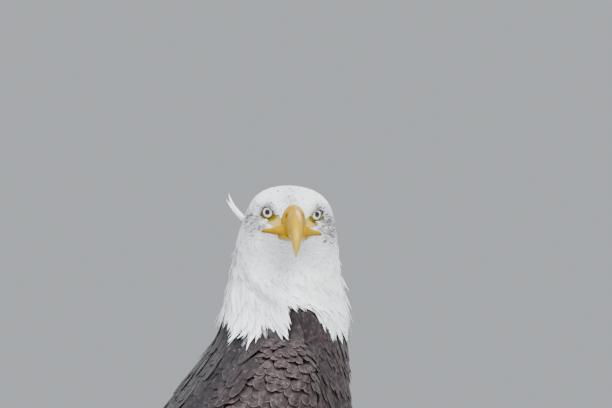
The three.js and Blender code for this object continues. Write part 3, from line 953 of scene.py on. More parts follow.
class Palette(Enum):
    """Every finish of the bird."""

    WHITE = Plumage("white feathers", (0.92, 0.94, 0.99), (0.165, 0.165, 0.18), (0.93, 0.95, 0.99), 0.3,
        16, 0.75, 0.2)
    BROWN = Plumage("brown feathers", (0.033, 0.0245, 0.0285), (0.007, 0.0052, 0.0062), (0.115, 0.083,
        0.085), 0.22, 24, 0.6, wear=0.2, dust=0.5, mottle=0.55)
    MANTLE = Plumage("mantle feathers", (0.019, 0.0155, 0.0205), (0.0065, 0.0055, 0.0072), (0.082,
        0.064, 0.067), 0.16, 26, 0.5, wear=0.15, dust=0.9, mottle=0.6)
    COVERTS = Plumage("covert feathers", (0.037, 0.0265, 0.031), (0.011, 0.0082, 0.0097), (0.14, 0.097,
        0.092), 0.3, 22, 0.55, wear=0.25, dust=0.9, mottle=0.7)
    FLIGHT = Plumage("flight feathers", (0.02, 0.0165, 0.0175), (0.007, 0.006, 0.007), (0.085, 0.066,
        0.06), 0.1, 90, 0.45, wear=0.12)
    TAIL = Plumage("tail feathers", (0.85, 0.87, 0.91), (0.62, 0.63, 0.67), (0.9, 0.91, 0.94), 0.1, 90,
        0.6, 0.4)
    SKIN = SkinFinish("feathered skin")
    HORN = Horn("bill horn")
    CERE = SoftSkin("cere and lips", (0.37, 0.23, 0), (0.32, 0.15, 0), 0.0007, 0.00014)
    LEG = SoftSkin("scaly legs", (0.5, 0.28, 0.002), (0.36, 0.17, 0.001), 0.0012, 0.0004)
    TALON = Talon("talon horn")
    EYE = EyeFinish("eye surface")

    def dress(self, piece: Piece, slot: str) -> Piece:
        """Gives a piece this finish.

        Args:
            piece: A mesh object.
            slot: The record's material slot that the finish belongs to; not used.

        Returns:
            The same piece, riding on the body.
        """
        material = bpy.data.materials.get(self.value.name) or self.value.material()
        piece.data.materials.append(material)
        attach(piece, "root")
        log.info("%s: %d faces", piece.name, len(piece.data.polygons))
        return piece


# ---- Feathers ----


@dataclass(frozen=True)
class Vane:
    """The shape of one kind of feather.

    Attributes:
        steps: Where its cross-sections lie, as shares of its length.
        root: Its width at the root, as a share of the broadest.
        broadest: Where it is broadest.
        bluntness: The power that rounds its end, 1 being a point.
        taper: The power of the narrowing towards the end.
        fine: Whether a section has eight points instead of four.
        thickness: In millimetres.
        droop: How far its edges droop, as a share of half its width.
        ragged: How unevenly its edges run, as a share of its width.
        offset: How far the shaft lies off the middle, as a share of half the width.
    """

    steps: tuple[float, ...] = (0, 0.25, 0.5, 0.7, 0.85, 0.94, 1.0)
    root: float = 0.4
    broadest: float = 0.55
    bluntness: float = 2.0
    taper: float = 2.4
    fine: bool = False
    thickness: float = 0.35
    droop: float = 0.18
    ragged: float = 0.0
    offset: float = 0.0

    def widths(self) -> Array:
        """Shares of the width at the steps: a quarter sine up to the broadest place, and then
        the curve of a rounded or pointed end."""
        steps = np.array(self.steps)
        up = self.root + (1 - self.root) * np.sin(np.clip(steps / self.broadest, 0, 1) * math.pi / 2)
        share = np.clip((steps - self.broadest) / (1 - self.broadest), 0, 1)
        down = (1 - share**self.taper) ** (1 / self.bluntness)
        return np.maximum(np.where(steps < self.broadest, up, down), 0.05)

    def section(self) -> tuple[Array, Array]:
        """The section's points across, from -1 to 1, and their heights in thicknesses."""
        if self.fine:
            across = np.array([-1, -0.55, 0, 0.55, 1, 0.55, 0, -0.55])
            return across, np.array([0, 0.5, 0.9, 0.5, 0, -0.5, -0.5, -0.5])
        return np.array([-1.0, 0, 1, 0]), np.array([0, 0.7, 0, -0.5])


HACKLE = Vane((0, 0.2, 0.4, 0.6, 0.78, 0.92, 1), 0.45, 0.34, 1, 1.5, False, 0.35, 0.18, 0.16)
TUFT = Vane((0, 0.35, 0.7, 1), 0.6, 0.4, 1.1, 1.5, False, 0.14, 0.1)
CROWN_TUFT = Vane((0, 0.3, 0.6, 0.85, 1), 0.5, 0.4, 1.05, 1.4, False, 0.2, 0.12, 0.1)
CONTOUR = Vane((0, 0.25, 0.5, 0.7, 0.84, 0.94, 1), 0.5, 0.6, 1.6, 2, False, 0.35, 0.12, 0.09)
STREAK = Vane((0, 0.2, 0.42, 0.62, 0.8, 0.92, 1), 0.45, 0.42, 1.15, 1.7, False, 0.4, 0.25, 0.14)
SCALE = Vane((0, 0.3, 0.55, 0.72, 0.84, 0.92, 0.97, 1), 0.5, 0.66, 2.1, 2.3, True, 0.4, 0.2, 0.03)
COVERT = Vane((0, 0.15, 0.35, 0.55, 0.72, 0.84, 0.92, 0.97, 1), 0.55, 0.72, 2, 2.2, True, 0.5, 0.14,
    0.03, 0.1)
QUILL = Vane((0, 0.1, 0.22, 0.34, 0.46, 0.58, 0.7, 0.8, 0.88, 0.94, 0.98, 1), 0.5, 0.78, 1.7, 2, True,
    0.6, 0.1, 0.025, 0.25)


@dataclass
class Feathers:
    """Feathers of one kind, as arrays with one entry for each.

    Attributes:
        paths: Points along each shaft, one for each step of the vane.
        normals: The way each shaft's upper side faces at those points.
        widths: Full widths in metres.
        looks: Tone, flecks and paleness of the rim, from 0 to 1.
        cells: Each feather's place on the unwrap.
        patch: The width and length of a feather's patch there.
        rolls: How far each is turned about its shaft, in radians.
    """

    paths: Array
    normals: Array
    widths: Array
    looks: Array
    cells: Array
    patch: tuple[float, float]
    rolls: Array

    def chosen(self, keep: Array) -> "Feathers":
        """Only some of the feathers."""
        arrays = ("paths", "normals", "widths", "looks", "cells", "rolls")
        return replace(self, **{name: getattr(self, name)[keep] for name in arrays})

    def build(self, name: str, vane: Vane, rng: np.random.Generator) -> Piece:
        """Makes one joined mesh of closed vanes.

        A section's point is the shaft's point, plus its share of the half width sideways, plus
        its thickness and the droop of the edges along the normal.

        Args:
            name: The piece's name.
            vane: The feathers' shape.
            rng: Draws the unevenness of their edges.

        Returns:
            The piece, with its fields and unwrap.
        """
        count, rows = self.paths.shape[:2]
        across, height = vane.section()
        columns = len(across)
        steps = np.array(vane.steps)
        way = unit(np.gradient(self.paths, axis=1))
        side = unit(np.cross(way, self.normals))
        up = np.cross(side, way)
        cos, sin = (np.asarray(f(self.rolls))[:, None, None] for f in (np.cos, np.sin))
        side, up = side * cos + up * sin, up * cos - side * sin
        uneven = 1 + vane.ragged * rng.normal(size=(count, rows, 2)).clip(-2, 2)
        half = self.widths[:, None, None] / 2 * vane.widths()[None, :, None] * uneven
        left, right = half[..., :1], half[..., 1:]
        reach = np.where(across < 0, left * (1 - vane.offset), right * (1 + vane.offset)) * across
        thin = vane.thickness * MM * (1 - 0.6 * steps[:, None])
        rise = height * thin - vane.droop * across**2 * half.mean(-1, keepdims=True)
        rings = self.paths[:, :, None] + side[:, :, None] * reach[..., None]
        rings = rings + up[:, :, None] * rise[..., None]
        one = tube(np.zeros((rows, columns, 3)))[1]
        faces = (one[None] + (np.arange(count) * rows * columns)[:, None, None]).reshape(-1, 4)
        shape = (count, rows, columns)
        along = np.broadcast_to(steps[None, :, None], shape)
        over = np.broadcast_to(across, shape)
        chance = np.broadcast_to(rng.random(count)[:, None, None], shape)
        vanes = np.stack([along, over, chance], -1).reshape(-1, 3)
        looks = np.broadcast_to(self.looks[:, None, None], shape + (3,)).reshape(-1, 3)
        piece = make_piece(name, rings.reshape(-1, 3), faces, {"vane": vanes, "look": looks})
        patch = np.stack([over * self.patch[0] / 2, (along - 0.5) * self.patch[1]], -1)
        add_unwrap(piece, (self.cells[:, None, None] + patch).reshape(-1, 2))
        sharpen_rims(piece, np.tile(np.abs(across) > 0.99, count * rows))
        return piece


def sharpen_rims(piece: Piece, rim: Array) -> None:
    """Marks the edges between two vertices of a vane's rim, so its sides are shaded apart."""
    sharp = rim[read(piece.data.edges, "vertices", 2)].all(1)
    marks = piece.data.attributes.new("sharp_edge", "BOOLEAN", "EDGE")
    marks.data.foreach_set("value", sharp)


Look = Callable[[Array, Array, np.random.Generator], Array]


def hanging(share: float) -> Rule:
    """A lie between the way down the form and straight down."""
    return lambda points, along: along * (1 - share) + np.array([0, 0, -share])


def flow(
    surface: Surface, u: Array, v: Array, lengths: Array, steps: Sequence[float], lie: Rule
) -> tuple[Array, Array]:
    """Paths of given lengths over a surface.

    Each step goes along the lie, laid flat on the skin. The two slopes of the surface turn it
    into steps of u and v, by the solution of two equations. Past the end of the surface a path
    goes straight on.

    Args:
        surface: What the feathers lie on.
        u: Parameters of the roots down the bird.
        v: Parameters of the roots round it.
        lengths: Lengths in metres.
        steps: Where the points lie, as shares of the length.
        lie: The way that feathers want to lie, from places and the way down the form.

    Returns:
        Points and normals, with a row for each step.
    """
    spot, down, around, normal = surface.frames(u, v)
    spots, normals = [spot], [normal]
    for low, high in zip(steps[:-1], steps[1:]):
        want = lie(spot, unit(down))
        move = unit(want - np.sum(want * normal, -1, keepdims=True) * normal)
        move = move * (lengths * (high - low))[:, None]
        a, b, c = (np.sum(x * y, -1) for x, y in ((down, down), (down, around), (around, around)))
        r, t = np.sum(move * down, -1), np.sum(move * around, -1)
        det = np.maximum(a * c - b * b, 1e-12)
        u = u + (c * r - b * t) / det
        v = v + (a * t - b * r) / det
        inside = ((u < surface.end) & (u > 0))[:, None]
        u = np.clip(u, 0, surface.end)
        there, down, around, facing = surface.frames(u, v)
        spot = np.where(inside, there, spot + move)
        normal = np.where(inside, facing, normal)
        spots.append(spot)
        normals.append(normal)
    return np.stack(spots, 1), np.stack(normals, 1)


@dataclass
class Tract:
    """A stretch of the coat, with feathers in staggered rows.

    Sizes are in millimetres, as a few values from the stretch's start to its end.

    Attributes:
        name: The piece's name.
        surface: What it lies on.
        span: The stretch of u.
        pitch: From row to row, and from feather to feather in a row.
        length: Of the feathers.
        width: Of the feathers.
        vane: Their shape.
        look: Their tones, from roots, tips and chance.
        lie: The way they want to lie.
        sector: The stretch of v.
        rise: Heights of roots and tips over the skin, as shares of the coat's depth.
        jitter: How far roots stray, as a share of the pitch.
        roll: How far feathers turn about their shafts, in degrees.
        keep: Which feathers stay, from roots and tips.
        seed: Draws the chances.
        loose: The share of feathers whose tips stand out.
        locks: How much they gather into locks, as a share of the coat's depth.
    """

    name: str
    surface: Surface
    span: Pair
    pitch: Sequence[Pair]
    length: Sequence[float]
    width: Sequence[float]
    vane: Vane
    look: Look
    lie: Rule = hanging(0.0)
    sector: Pair = (0.0, FULL_TURN)
    rise: Pair = (0.0, 0.95)
    jitter: float = 0.28
    roll: float = 9.0
    keep: Optional[Rule] = None
    seed: int = 1
    loose: float = 0.0
    locks: float = 0.0

    def roots(self, rng: np.random.Generator) -> tuple[Array, Array, Array, Pair]:
        """Rows of roots at even distances.

        A row's step in u is its pitch over the form's slope, and its roots are spread over v by
        the length run along the ring, so both distances are true ones.

        Args:
            rng: Draws how far roots stray.

        Returns:
            Parameters u and v, places on the unwrap, and the size of a patch there.
        """
        ring = np.linspace(*self.sector, 181)
        u, rows = self.span[0], []
        while u < self.span[1]:
            share = (u - self.span[0]) / (self.span[1] - self.span[0])
            down, beside = spline(self.pitch, np.array(share * (len(self.pitch) - 1))) * MM
            _, slope, around, _ = self.surface.frames(np.full(181, u), ring)
            travel = running(np.linalg.norm(around, axis=-1) * (ring[1] - ring[0]))
            count = max(3, round(travel[-1] / beside))
            stagger = 0.25 + 0.5 * (len(rows) % 2)
            places = (np.arange(count) + stagger) / count
            stray = rng.uniform(-self.jitter, self.jitter, (2, count))
            step = down / np.percentile(np.linalg.norm(slope, axis=-1), 60)
            rows.append((
                np.clip(u + stray[0] * step, 0.001, self.surface.end),
                np.interp((places + stray[1] / count) * travel[-1], travel, ring),
                places * 0.97 + 0.005,
                np.full(count, float(len(rows))),
            ))
            u += step
        most = max(len(row[0]) for row in rows)
        u, v, column, row = (np.concatenate(parts) for parts in zip(*rows))
        cells = np.stack([column, 0.01 + 0.98 * (row + 0.5) / len(rows)], -1)
        return u, v, cells, (0.7 / most, 0.7 / len(rows))

    def feathers(self) -> Feathers:
        """Lays the feathers over the surface."""
        rng = np.random.default_rng(SEED + self.seed)
        u, v, cells, patch = self.roots(rng)
        share = (u - self.span[0]) / (self.span[1] - self.span[0])
        sizes = [spline(rows, share * (len(rows) - 1)) * MM for rows in (self.length, self.width)]
        lengths = sizes[0] * rng.uniform(0.88, 1.12, len(u))
        widths = sizes[1] * rng.uniform(0.88, 1.12, len(u))
        paths, normals = flow(self.surface, u, v, lengths, self.vane.steps, self.lie)
        depth = self.surface.coat_depth(u)[:, None] * MM
        ends = np.array(self.rise)[None] * rng.uniform(0.85, 1.1, (len(u), 1))
        steps = np.array(self.vane.steps)[None]
        heights = depth * (ends[:, :1] + (ends[:, 1:] - ends[:, :1]) * steps**0.8)
        lock = ripple(paths[:, 0], 0.013, self.seed) + 0.5 * ripple(paths[:, 0], 0.006, self.seed)
        heights = heights + depth * self.locks * lock[:, None] * steps
        stands = rng.random((len(u), 1)) < self.loose
        heights = heights + depth * stands * rng.uniform(0.3, 0.9, (len(u), 1)) * steps**2
        paths = paths + normals * heights[..., None]
        looks = self.look(paths[:, 0], paths[:, -1], rng)
        rolls = np.radians(rng.normal(0, self.roll, len(u)))
        made = Feathers(paths, normals, widths, looks, cells, patch, rolls)
        if self.keep is not None:
            made = made.chosen(self.keep(made.paths[:, 0], made.paths[:, -1]))
        return made

    def build(self) -> Piece:
        """Makes the tract's piece."""
        rng = np.random.default_rng(SEED + 100 + self.seed)
        return self.feathers().build(self.name, self.vane, rng)


# ---- Markings, which skin and coat share ----


def in_head(points: Array) -> Array:
    """Points as [side, forward, height] of the level, forward-facing head, in millimetres."""
    level = (points - PIVOT) @ np.array(HEAD_POSE) + PIVOT
    return np.stack([level[..., 0], MIDDLE - level[..., 1], level[..., 2] - CROWN], -1) / MM


def from_head(local: Array) -> Array:
    """The inverse of in_head."""
    return turned(place(local[..., 0], local[..., 1], local[..., 2]))


def mirrored(local: Array) -> Array:
    """Places of the level head, all moved to its left half."""
    return np.concatenate([np.abs(local[..., :1]), local[..., 1:]], -1)


# The dark line above each eye: partly dark feathers, partly painted shade under the brow ridge.
BROW = Form((33, 33, -21), (18.5, 47, -23), 2.6, 1.2)


@dataclass(frozen=True)
class Markings:
    """Where the white, the brown and the bare skin lie.

    Attributes:
        border: The height where the white neck ends, in millimetres from the crown.
        notch: How much higher the brown reaches on each side of the breast.
        notch_turn: The way the notches face, from straight ahead.
        notch_width: How wide they are.
        gap: How much higher it reaches in a small gap behind each notch.
        gap_turn: The way the gaps face.
        gap_width: How wide they are.
        tail: The forward place where the white of the tail starts, above and below.
    """

    border: float = -157.0
    notch: float = 38.0
    notch_turn: float = math.radians(75)
    notch_width: float = math.radians(17)
    gap: float = 14.0
    gap_turn: float = math.radians(111)
    gap_width: float = math.radians(6)
    tail: Pair = (-276.0, -216.0)

    def edge(self, points: Array) -> Array:
        """The height of the white neck's end at the turn of each point round the neck."""
        turn = np.abs(np.arctan2(points[..., 0], MIDDLE + 0.010 - points[..., 1]))
        notch = self.notch * bell(turn - self.notch_turn, self.notch_width, 6)
        gap = self.gap * bell(turn - self.gap_turn, self.gap_width)
        nape = 16 * smooth(turn, 2.3, 3.0)
        return self.border + notch + gap + nape + 5 * ripple(points * [1, 1, 0], 0.014, 5)

    def white(self, points: Array) -> Array:
        """1 on the white head and neck, 0 below."""
        return smooth(height_of(points) - self.edge(points), -3, 3)

    def tail_white(self, points: Array) -> Array:
        """1 on the white of the tail's coverts."""
        forward = (MIDDLE - points[..., 1]) / MM
        under = smooth(-height_of(points) + 0.55 * forward - 270, 0, 30)
        start = self.tail[0] + (self.tail[1] - self.tail[0]) * under
        return smooth(forward, start + 6, start - 6)

    def grey(self, points: Array) -> Array:
        """Where dark flecks show: the cheeks behind the eyes, the brows, lores and forehead; just above
        each eye the darkness is partly painted shade under the brow ridge.
        """
        local = in_head(points)
        spots = (
            ((-38, 36, -33), 9, 1.0),
            ((-42, 34, -43), 9, 0.75),
            ((-43, 27, -33), 9, 0.9),
            ((-26, 43, -19.5), 4.5, 0.8),
            ((-31, 45, -42), 6, 0.6),
            ((-24, 46, -31), 4, 0.3),
            ((38, 36, -32), 10, 1.0),
            ((42, 34, -44), 10, 0.9),
            ((44, 27, -34), 9, 0.9),
            ((28, 41, -20.5), 6, 0.9),
            ((24, 46, -33), 5, 0.6),
            ((32, 45, -41), 7, 0.6),
            ((-5, 49, -9), 8, 0.4),
            ((-2, 34, -1), 10, 0.22),
        )
        # The brow line is partly painted shade under the brow ridge.
        total = BROW.lift(np.abs(local) * [1, 1, -1])
        for middle, reach, share in spots:
            gap = (local - np.array(middle)) * [1, 0.7, 1]
            total = np.maximum(total, share * np.exp(-np.sum(gap * gap, -1) / reach**2))
        return total


MARKINGS = Markings()


def white_look(roots: Array, tips: Array, rng: np.random.Generator) -> Array:
    """Tones of white feathers, with flecks where the head is grey."""
    count = len(roots)
    grey = MARKINGS.grey(tips)
    tone = 0.14 * rng.random(count) ** 2 + 1.35 * grey**0.6 * rng.uniform(0.6, 1.1, count)
    dark = (rng.random(count) < 0.5 * grey) * rng.uniform(0.3, 1.0, count)
    fleck = np.maximum(dark, (rng.random(count) < 0.6 * grey) * rng.uniform(0.12, 0.3, count))
    return np.stack([tone, fleck, np.full(count, 0.6)], -1)


def brown_look(roots: Array, tips: Array, rng: np.random.Generator) -> Array:
    """Tones of brown feathers, in patches, with rims that are pale on some."""
    count = len(roots)
    tone = 0.5 * (0.5 + 0.5 * ripple(roots, 0.05, 11)) + 0.5 * rng.random(count)
    return np.stack([tone, np.zeros(count), rng.uniform(0.2, 1.0, count)], -1)


def covert_look(roots: Array, tips: Array, rng: np.random.Generator) -> Array:
    """Tones of the wing's coverts, with clear pale rims."""
    count = len(roots)
    patches = 0.5 + 0.5 * ripple(roots, 0.03, 12)
    tone = 0.6 * patches * rng.random(count) + 0.2 * rng.random(count)
    return np.stack([tone, np.zeros(count), rng.uniform(0.45, 1.0, count)], -1)


# ---- Skin ----


def union(name: str, pieces: list[Piece]) -> Piece:
    """One closed piece from several overlapping ones.

    Args:
        name: The name of the result.
        pieces: Closed mesh objects, which are used up.

    Returns:
        The joined piece.
    """
    others = bpy.data.collections.new(name + "_others")
    for piece in pieces[1:]:
        others.objects.link(piece)
    join = pieces[0].modifiers.new("join", "BOOLEAN")
    join.operation = "UNION"
    join.operand_type = "COLLECTION"
    join.collection = others
    join.solver = "EXACT"
    graph = bpy.context.evaluated_depsgraph_get()
    mesh = bpy.data.meshes.new_from_object(pieces[0].evaluated_get(graph))
    mesh.name = name
    for piece in pieces:
        bpy.data.objects.remove(piece)
    bpy.data.collections.remove(others)
    mesh.polygons.foreach_set("use_smooth", np.ones(len(mesh.polygons), bool))
    return add_object(name, mesh)


def closed(name: str, surface: Surface, u: Array, v: Array) -> Piece:
    """A closed piece through the rings at u of a surface, with their points at v."""
    return shell(name, surface.at(u[:, None], v[None, :]))


@dataclass(frozen=True)
class EyeSeat:
    """How the eyes sit in the head, in millimetres and degrees.

    Attributes:
        pupil: The place of the left eye's pupil [side, forward, height].
        splay: How far outwards it looks.
        radius: The eyeball's radius.
        depth: How far its middle lies behind the pupil.
        opening: The radius of the opening between the lids.
        hood: How much lower the upper lid hangs than a round opening.
        slant: How far the lowest part of the upper lid lies towards the bill.
        lid: The thickness of the lids.
        blend: Where the lids begin and end to run out into the face.
    """

    pupil: Place = (24, 41, -25.6)
    splay: float = 34.0
    radius: float = 11.0
    depth: float = 9.2
    opening: float = 5.7
    hood: float = 1.5
    slant: float = 0.5
    lid: float = 0.6
    blend: Pair = (7.6, 12.5)

    def axis(self, side: int) -> Array:
        """The way the eye of one side looks."""
        splay = math.radians(self.splay)
        return np.array([side * math.sin(splay), math.cos(splay), 0.0])

    def middle(self, side: int) -> Array:
        """The middle of the eyeball of one side."""
        return np.array(self.pupil) * [side, 1, 1] - self.depth * self.axis(side)

    def around(self, local: Array, side: int) -> Triple:
        """Distance along the eye's axis and from it, and the part that lies across it."""
        arm = local - self.middle(side)
        along = arm @ self.axis(side)
        across = arm - along[..., None] * self.axis(side)
        return along, np.linalg.norm(across, axis=-1), across

    def gape(self, across: Array, away: Array, side: int) -> Array:
        """The radius of the opening on each way from its middle, less under the hood."""
        inward = np.cross([0, 0, 1], self.axis(side)) * side
        hood = unit(np.array([0, 0, 1]) + self.slant * inward)
        share = np.clip(across @ hood / np.maximum(away, 1e-6), 0, 1)
        return self.opening - self.hood * share**1.5

    def ring(self, local: Array, side: int) -> Triple:
        """How skin lies round one eye.

        Args:
            local: Places in the level head, in millimetres.
            side: 1 for the left eye and -1 for the right.

        Returns:
            Distances from the opening, 0 above to 1 below it, and what is in front of the eye.
        """
        along, away, across = self.around(local, side)
        low = smooth(-across[..., 2] / np.maximum(away, 1e-6), -0.1, 0.5)
        return away - self.gape(across, away, side), low, along > 0

    def lids(self, points: Array) -> Array:
        """Moves the skin round the eyes.

        Within the opening the skin sinks under the eyeball. Round it a lid follows the ball at
        its thickness, with a rolled rim and a fold, and blends out into the face.

        Args:
            points: The skin's points, in metres.

        Returns:
            The moved points.
        """
        local = in_head(points)
        for side in SIDES.values():
            along, away, across = self.around(local, side)
            ball = np.sqrt(np.maximum(self.radius**2 - away**2, 0))
            opening = self.gape(across, away, side)
            over = smooth(away - opening, -0.5, 0.3)
            rim = 0.45 * bell(away - opening - 0.8, 0.6)
            fold = -0.6 * bell(away - opening - 2.3, 0.7)
            target = ball - 1.4 + (1.4 + self.lid) * over + rim + fold
            share = (1 - smooth(away, *self.blend)) * (along > 0)
            local = local + (share * (target - along))[..., None] * self.axis(side)
        return from_head(local)


SEAT = EyeSeat()


ARM_REACH = 0.62  # The share of a wing's length that has an arm in it.


@dataclass
class Skin:
    """One skin over the head, neck, trunk, rump, wing arms and thighs.

    Attributes:
        body: The form of the body.
        wings: The forms of the wings.
        thighs: The forms of the thighs.
        head_rings: Rings from the bill to the back of the head.
        body_rings: Rings from there to the tail.
        columns: Points round a ring.
    """

    body: Loft
    wings: Sequence[Wing]
    thighs: Sequence[Thigh]
    head_rings: int = 170
    body_rings: int = 70
    columns: int = 200

    def angles(self) -> Array:
        """Angles round a ring, three times denser near the eyes: the inverse of the running
        total of a density with a bell on each side."""
        fine = np.linspace(-math.pi, math.pi, 1441)
        total = running(1 + 2.2 * bell(np.abs(fine) - 1.15, 0.4))
        return np.interp(np.arange(self.columns) / self.columns * total[-1], total, fine)

    def positions(self) -> Array:
        """Where the rings lie, denser over the eyes."""
        fine = np.linspace(0, 5, 501)
        total = running(1 + 1.8 * bell(fine - 2.2, 0.7))
        head = np.interp(np.linspace(0, total[-1], self.head_rings), total, fine)
        return np.concatenate([head, np.linspace(5, self.body.end, self.body_rings)[1:]])

    def build(self) -> Piece:
        """Joins the body, arms and thighs into one closed skin with its markings."""
        round_ = circle(40)
        rings = self.body.at(self.positions()[:, None], self.angles()[None, :])
        parts = [shell("skin_body", SEAT.lids(rings))]
        arm = np.linspace(0.006, ARM_REACH, 34)
        parts += [closed("skin_arm", wing, arm, round_) for wing in self.wings]
        parts += [
            closed("skin_thigh", thigh, np.linspace(0.0, thigh.end, 30), round_)
            for thigh in self.thighs
        ]
        skin = union("skin", parts)
        add_field(skin.data, "marks", self.marks(mesh_points(skin)))
        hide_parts("head", "neck", "trunk", "rump", "thigh_L", "wing_L_coverts", "thigh_R",
            "wing_R_coverts")
        return Palette.SKIN.dress(skin, "white_plumage")

    def marks(self, points: Array) -> Array:
        """The skin's markings.

        Args:
            points: Places in metres.

        Returns:
            How brown, how bare and how dark the skin is at each, from 0 to 1; above the eyes the
            darkness is partly painted shade under the brow.
        """
        shoulder = smooth(np.abs(points[:, 0]), 0.062, 0.066) * (points[:, 2] < CROWN - 0.14)
        white = np.maximum(MARKINGS.white(points) * (1 - shoulder), MARKINGS.tail_white(points))
        local = in_head(points)
        lore = Form((24, 50, -30), (14, 61, -34), 9, 1.0).lift(mirrored(local))
        near = (np.abs(local[..., 1] - 40) < 16) & (points[..., 2] > HEAD_BASE)
        bare, dark = 0.5 * smooth(lore, 0.2, 0.6), 0.55 * MARKINGS.grey(points) * white
        for side in SIDES.values():
            out, low, ahead = SEAT.ring(local, side)
            here = near & ahead
            bare = np.maximum(bare, 0.5 * smooth(out, 6.0, 4.0) * low * here)
            bare = np.maximum(bare, smooth(out, 2.9, 2.1) * low * here)
            rim = bell(out - 0.3, 0.8)
            # Dark above each eye: partly dark bristles, partly painted shade under the brow.
            brow = smooth(out, 3.0, 1.6) * (1 - low) * (0.75 + 0.3 * ripple(points, 0.002, 9))
            dark = np.maximum(dark, np.maximum(rim, brow) * here)
        return np.stack([1 - white, bare, np.clip(dark, 0, 1)], -1)


# ---- Head pieces ----


@dataclass
class Eyes:
    """The two eyeballs.

    Attributes:
        rows: Rings from the front of an eye to its back.
        columns: Points round a ring.
        iris: The iris's radius, in millimetres.
        dome: How far the flatter dome over the iris rises.
    """

    rows: int = 44
    columns: int = 64
    iris: float = 5.2
    dome: float = 1.2

    def build(self) -> None:
        """Makes both eyes, from rings of growing angle round the optical axis."""
        polar = np.linspace(0.02, math.radians(150), self.rows)[:, None]
        around = circle(self.columns)[None]
        for letter, side in SIDES.items():
            axis = SEAT.axis(side)
            level = np.cross([0, 0, 1], axis)
            upright = np.cross(axis, level)
            ahead, out = SEAT.radius * np.cos(polar), SEAT.radius * np.sin(polar)
            rim = math.sqrt(SEAT.radius**2 - self.iris**2)
            front = rim + self.dome * (1 - (out / self.iris) ** 2)
            ahead = np.where((out < self.iris) & (polar < 1.5), front, ahead)
            local = (ahead * np.ones_like(around))[..., None] * axis
            local = local + (out * np.cos(around))[..., None] * level
            local = local + (out * np.sin(around))[..., None] * upright
            rings = from_head(local + SEAT.middle(side))
            share = out / self.iris + 3 * (polar > 1.4)
            iris = np.broadcast_arrays(share, np.cos(around), np.sin(around))
            eye = shell(f"eyeball_{letter}", rings, {"iris": np.stack(iris, -1).reshape(-1, 3)})
            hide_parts(f"eye_{letter}")
            Palette.EYE.dress(eye, "eye")


# Rows of stations that turn with the head: top, base, half, square and flare.
CERE = (
    ((55.5, -17.2), (60, -47), 12.4, (2.1, 2.6), 0.1),
    ((60.4, -16.2), (64.4, -47.6), 11.6, (2.1, 2.6), 0.06),
    ((67, -17), (68.6, -48), 10.4, (2.1, 2.6), 0),
    ((74, -19.2), (74.4, -48.4), 8.6, (2.1, 2.6), 0),
    ((77, -21.4), (77, -47.6), 7.2, (2.1, 2.6), 0),
)
UPPER_BILL = (
    ((73, -21), (73, -48), 7.4, (2.1, 3), 0),
    ((75.6, -20.2), (75.2, -49), 7.9, (2.1, 3), 0),
    ((88, -23.6), (86, -50), 7.5, (2.1, 3), 0),
    ((99.5, -30.6), (95, -50.4), 6.6, (2.1, 2.8), 0),
    ((108, -40.6), (101.6, -53.4), 5.1, (2, 2.4), 0),
    ((112.2, -50.6), (106.2, -57.8), 3.5, (2, 2), 0),
    ((111.8, -59.6), (108.4, -62.4), 1.9, (2, 2), 0),
    ((110, -65.4), (109.5, -66), 0.5, (2, 2), 0),
)
LOWER_BILL = (
    ((50, -44.5), (55, -52.6), 17.5, (3, 2.2), -0.1),
    ((60, -45), (63, -52.6), 14.5, (3, 2.2), -0.1),
    ((70, -46), (71, -52.6), 10, (4, 2.2), -0.14),
    ((80, -47.4), (80, -52.6), 6.6, (4, 2.2), -0.14),
    ((89, -48.6), (89, -52.4), 5.2, (4, 2.2), -0.14),
    ((95, -50), (94.6, -52.4), 3.4, (3, 2.2), -0.1),
    ((98, -51.4), (97.8, -52.2), 1.2, (2, 2), 0),
)


def head_loft(table: Sequence) -> Loft:
    """The form through rows of stations that turn with the head."""
    return Loft([Station(*row, turn=1) for row in table])


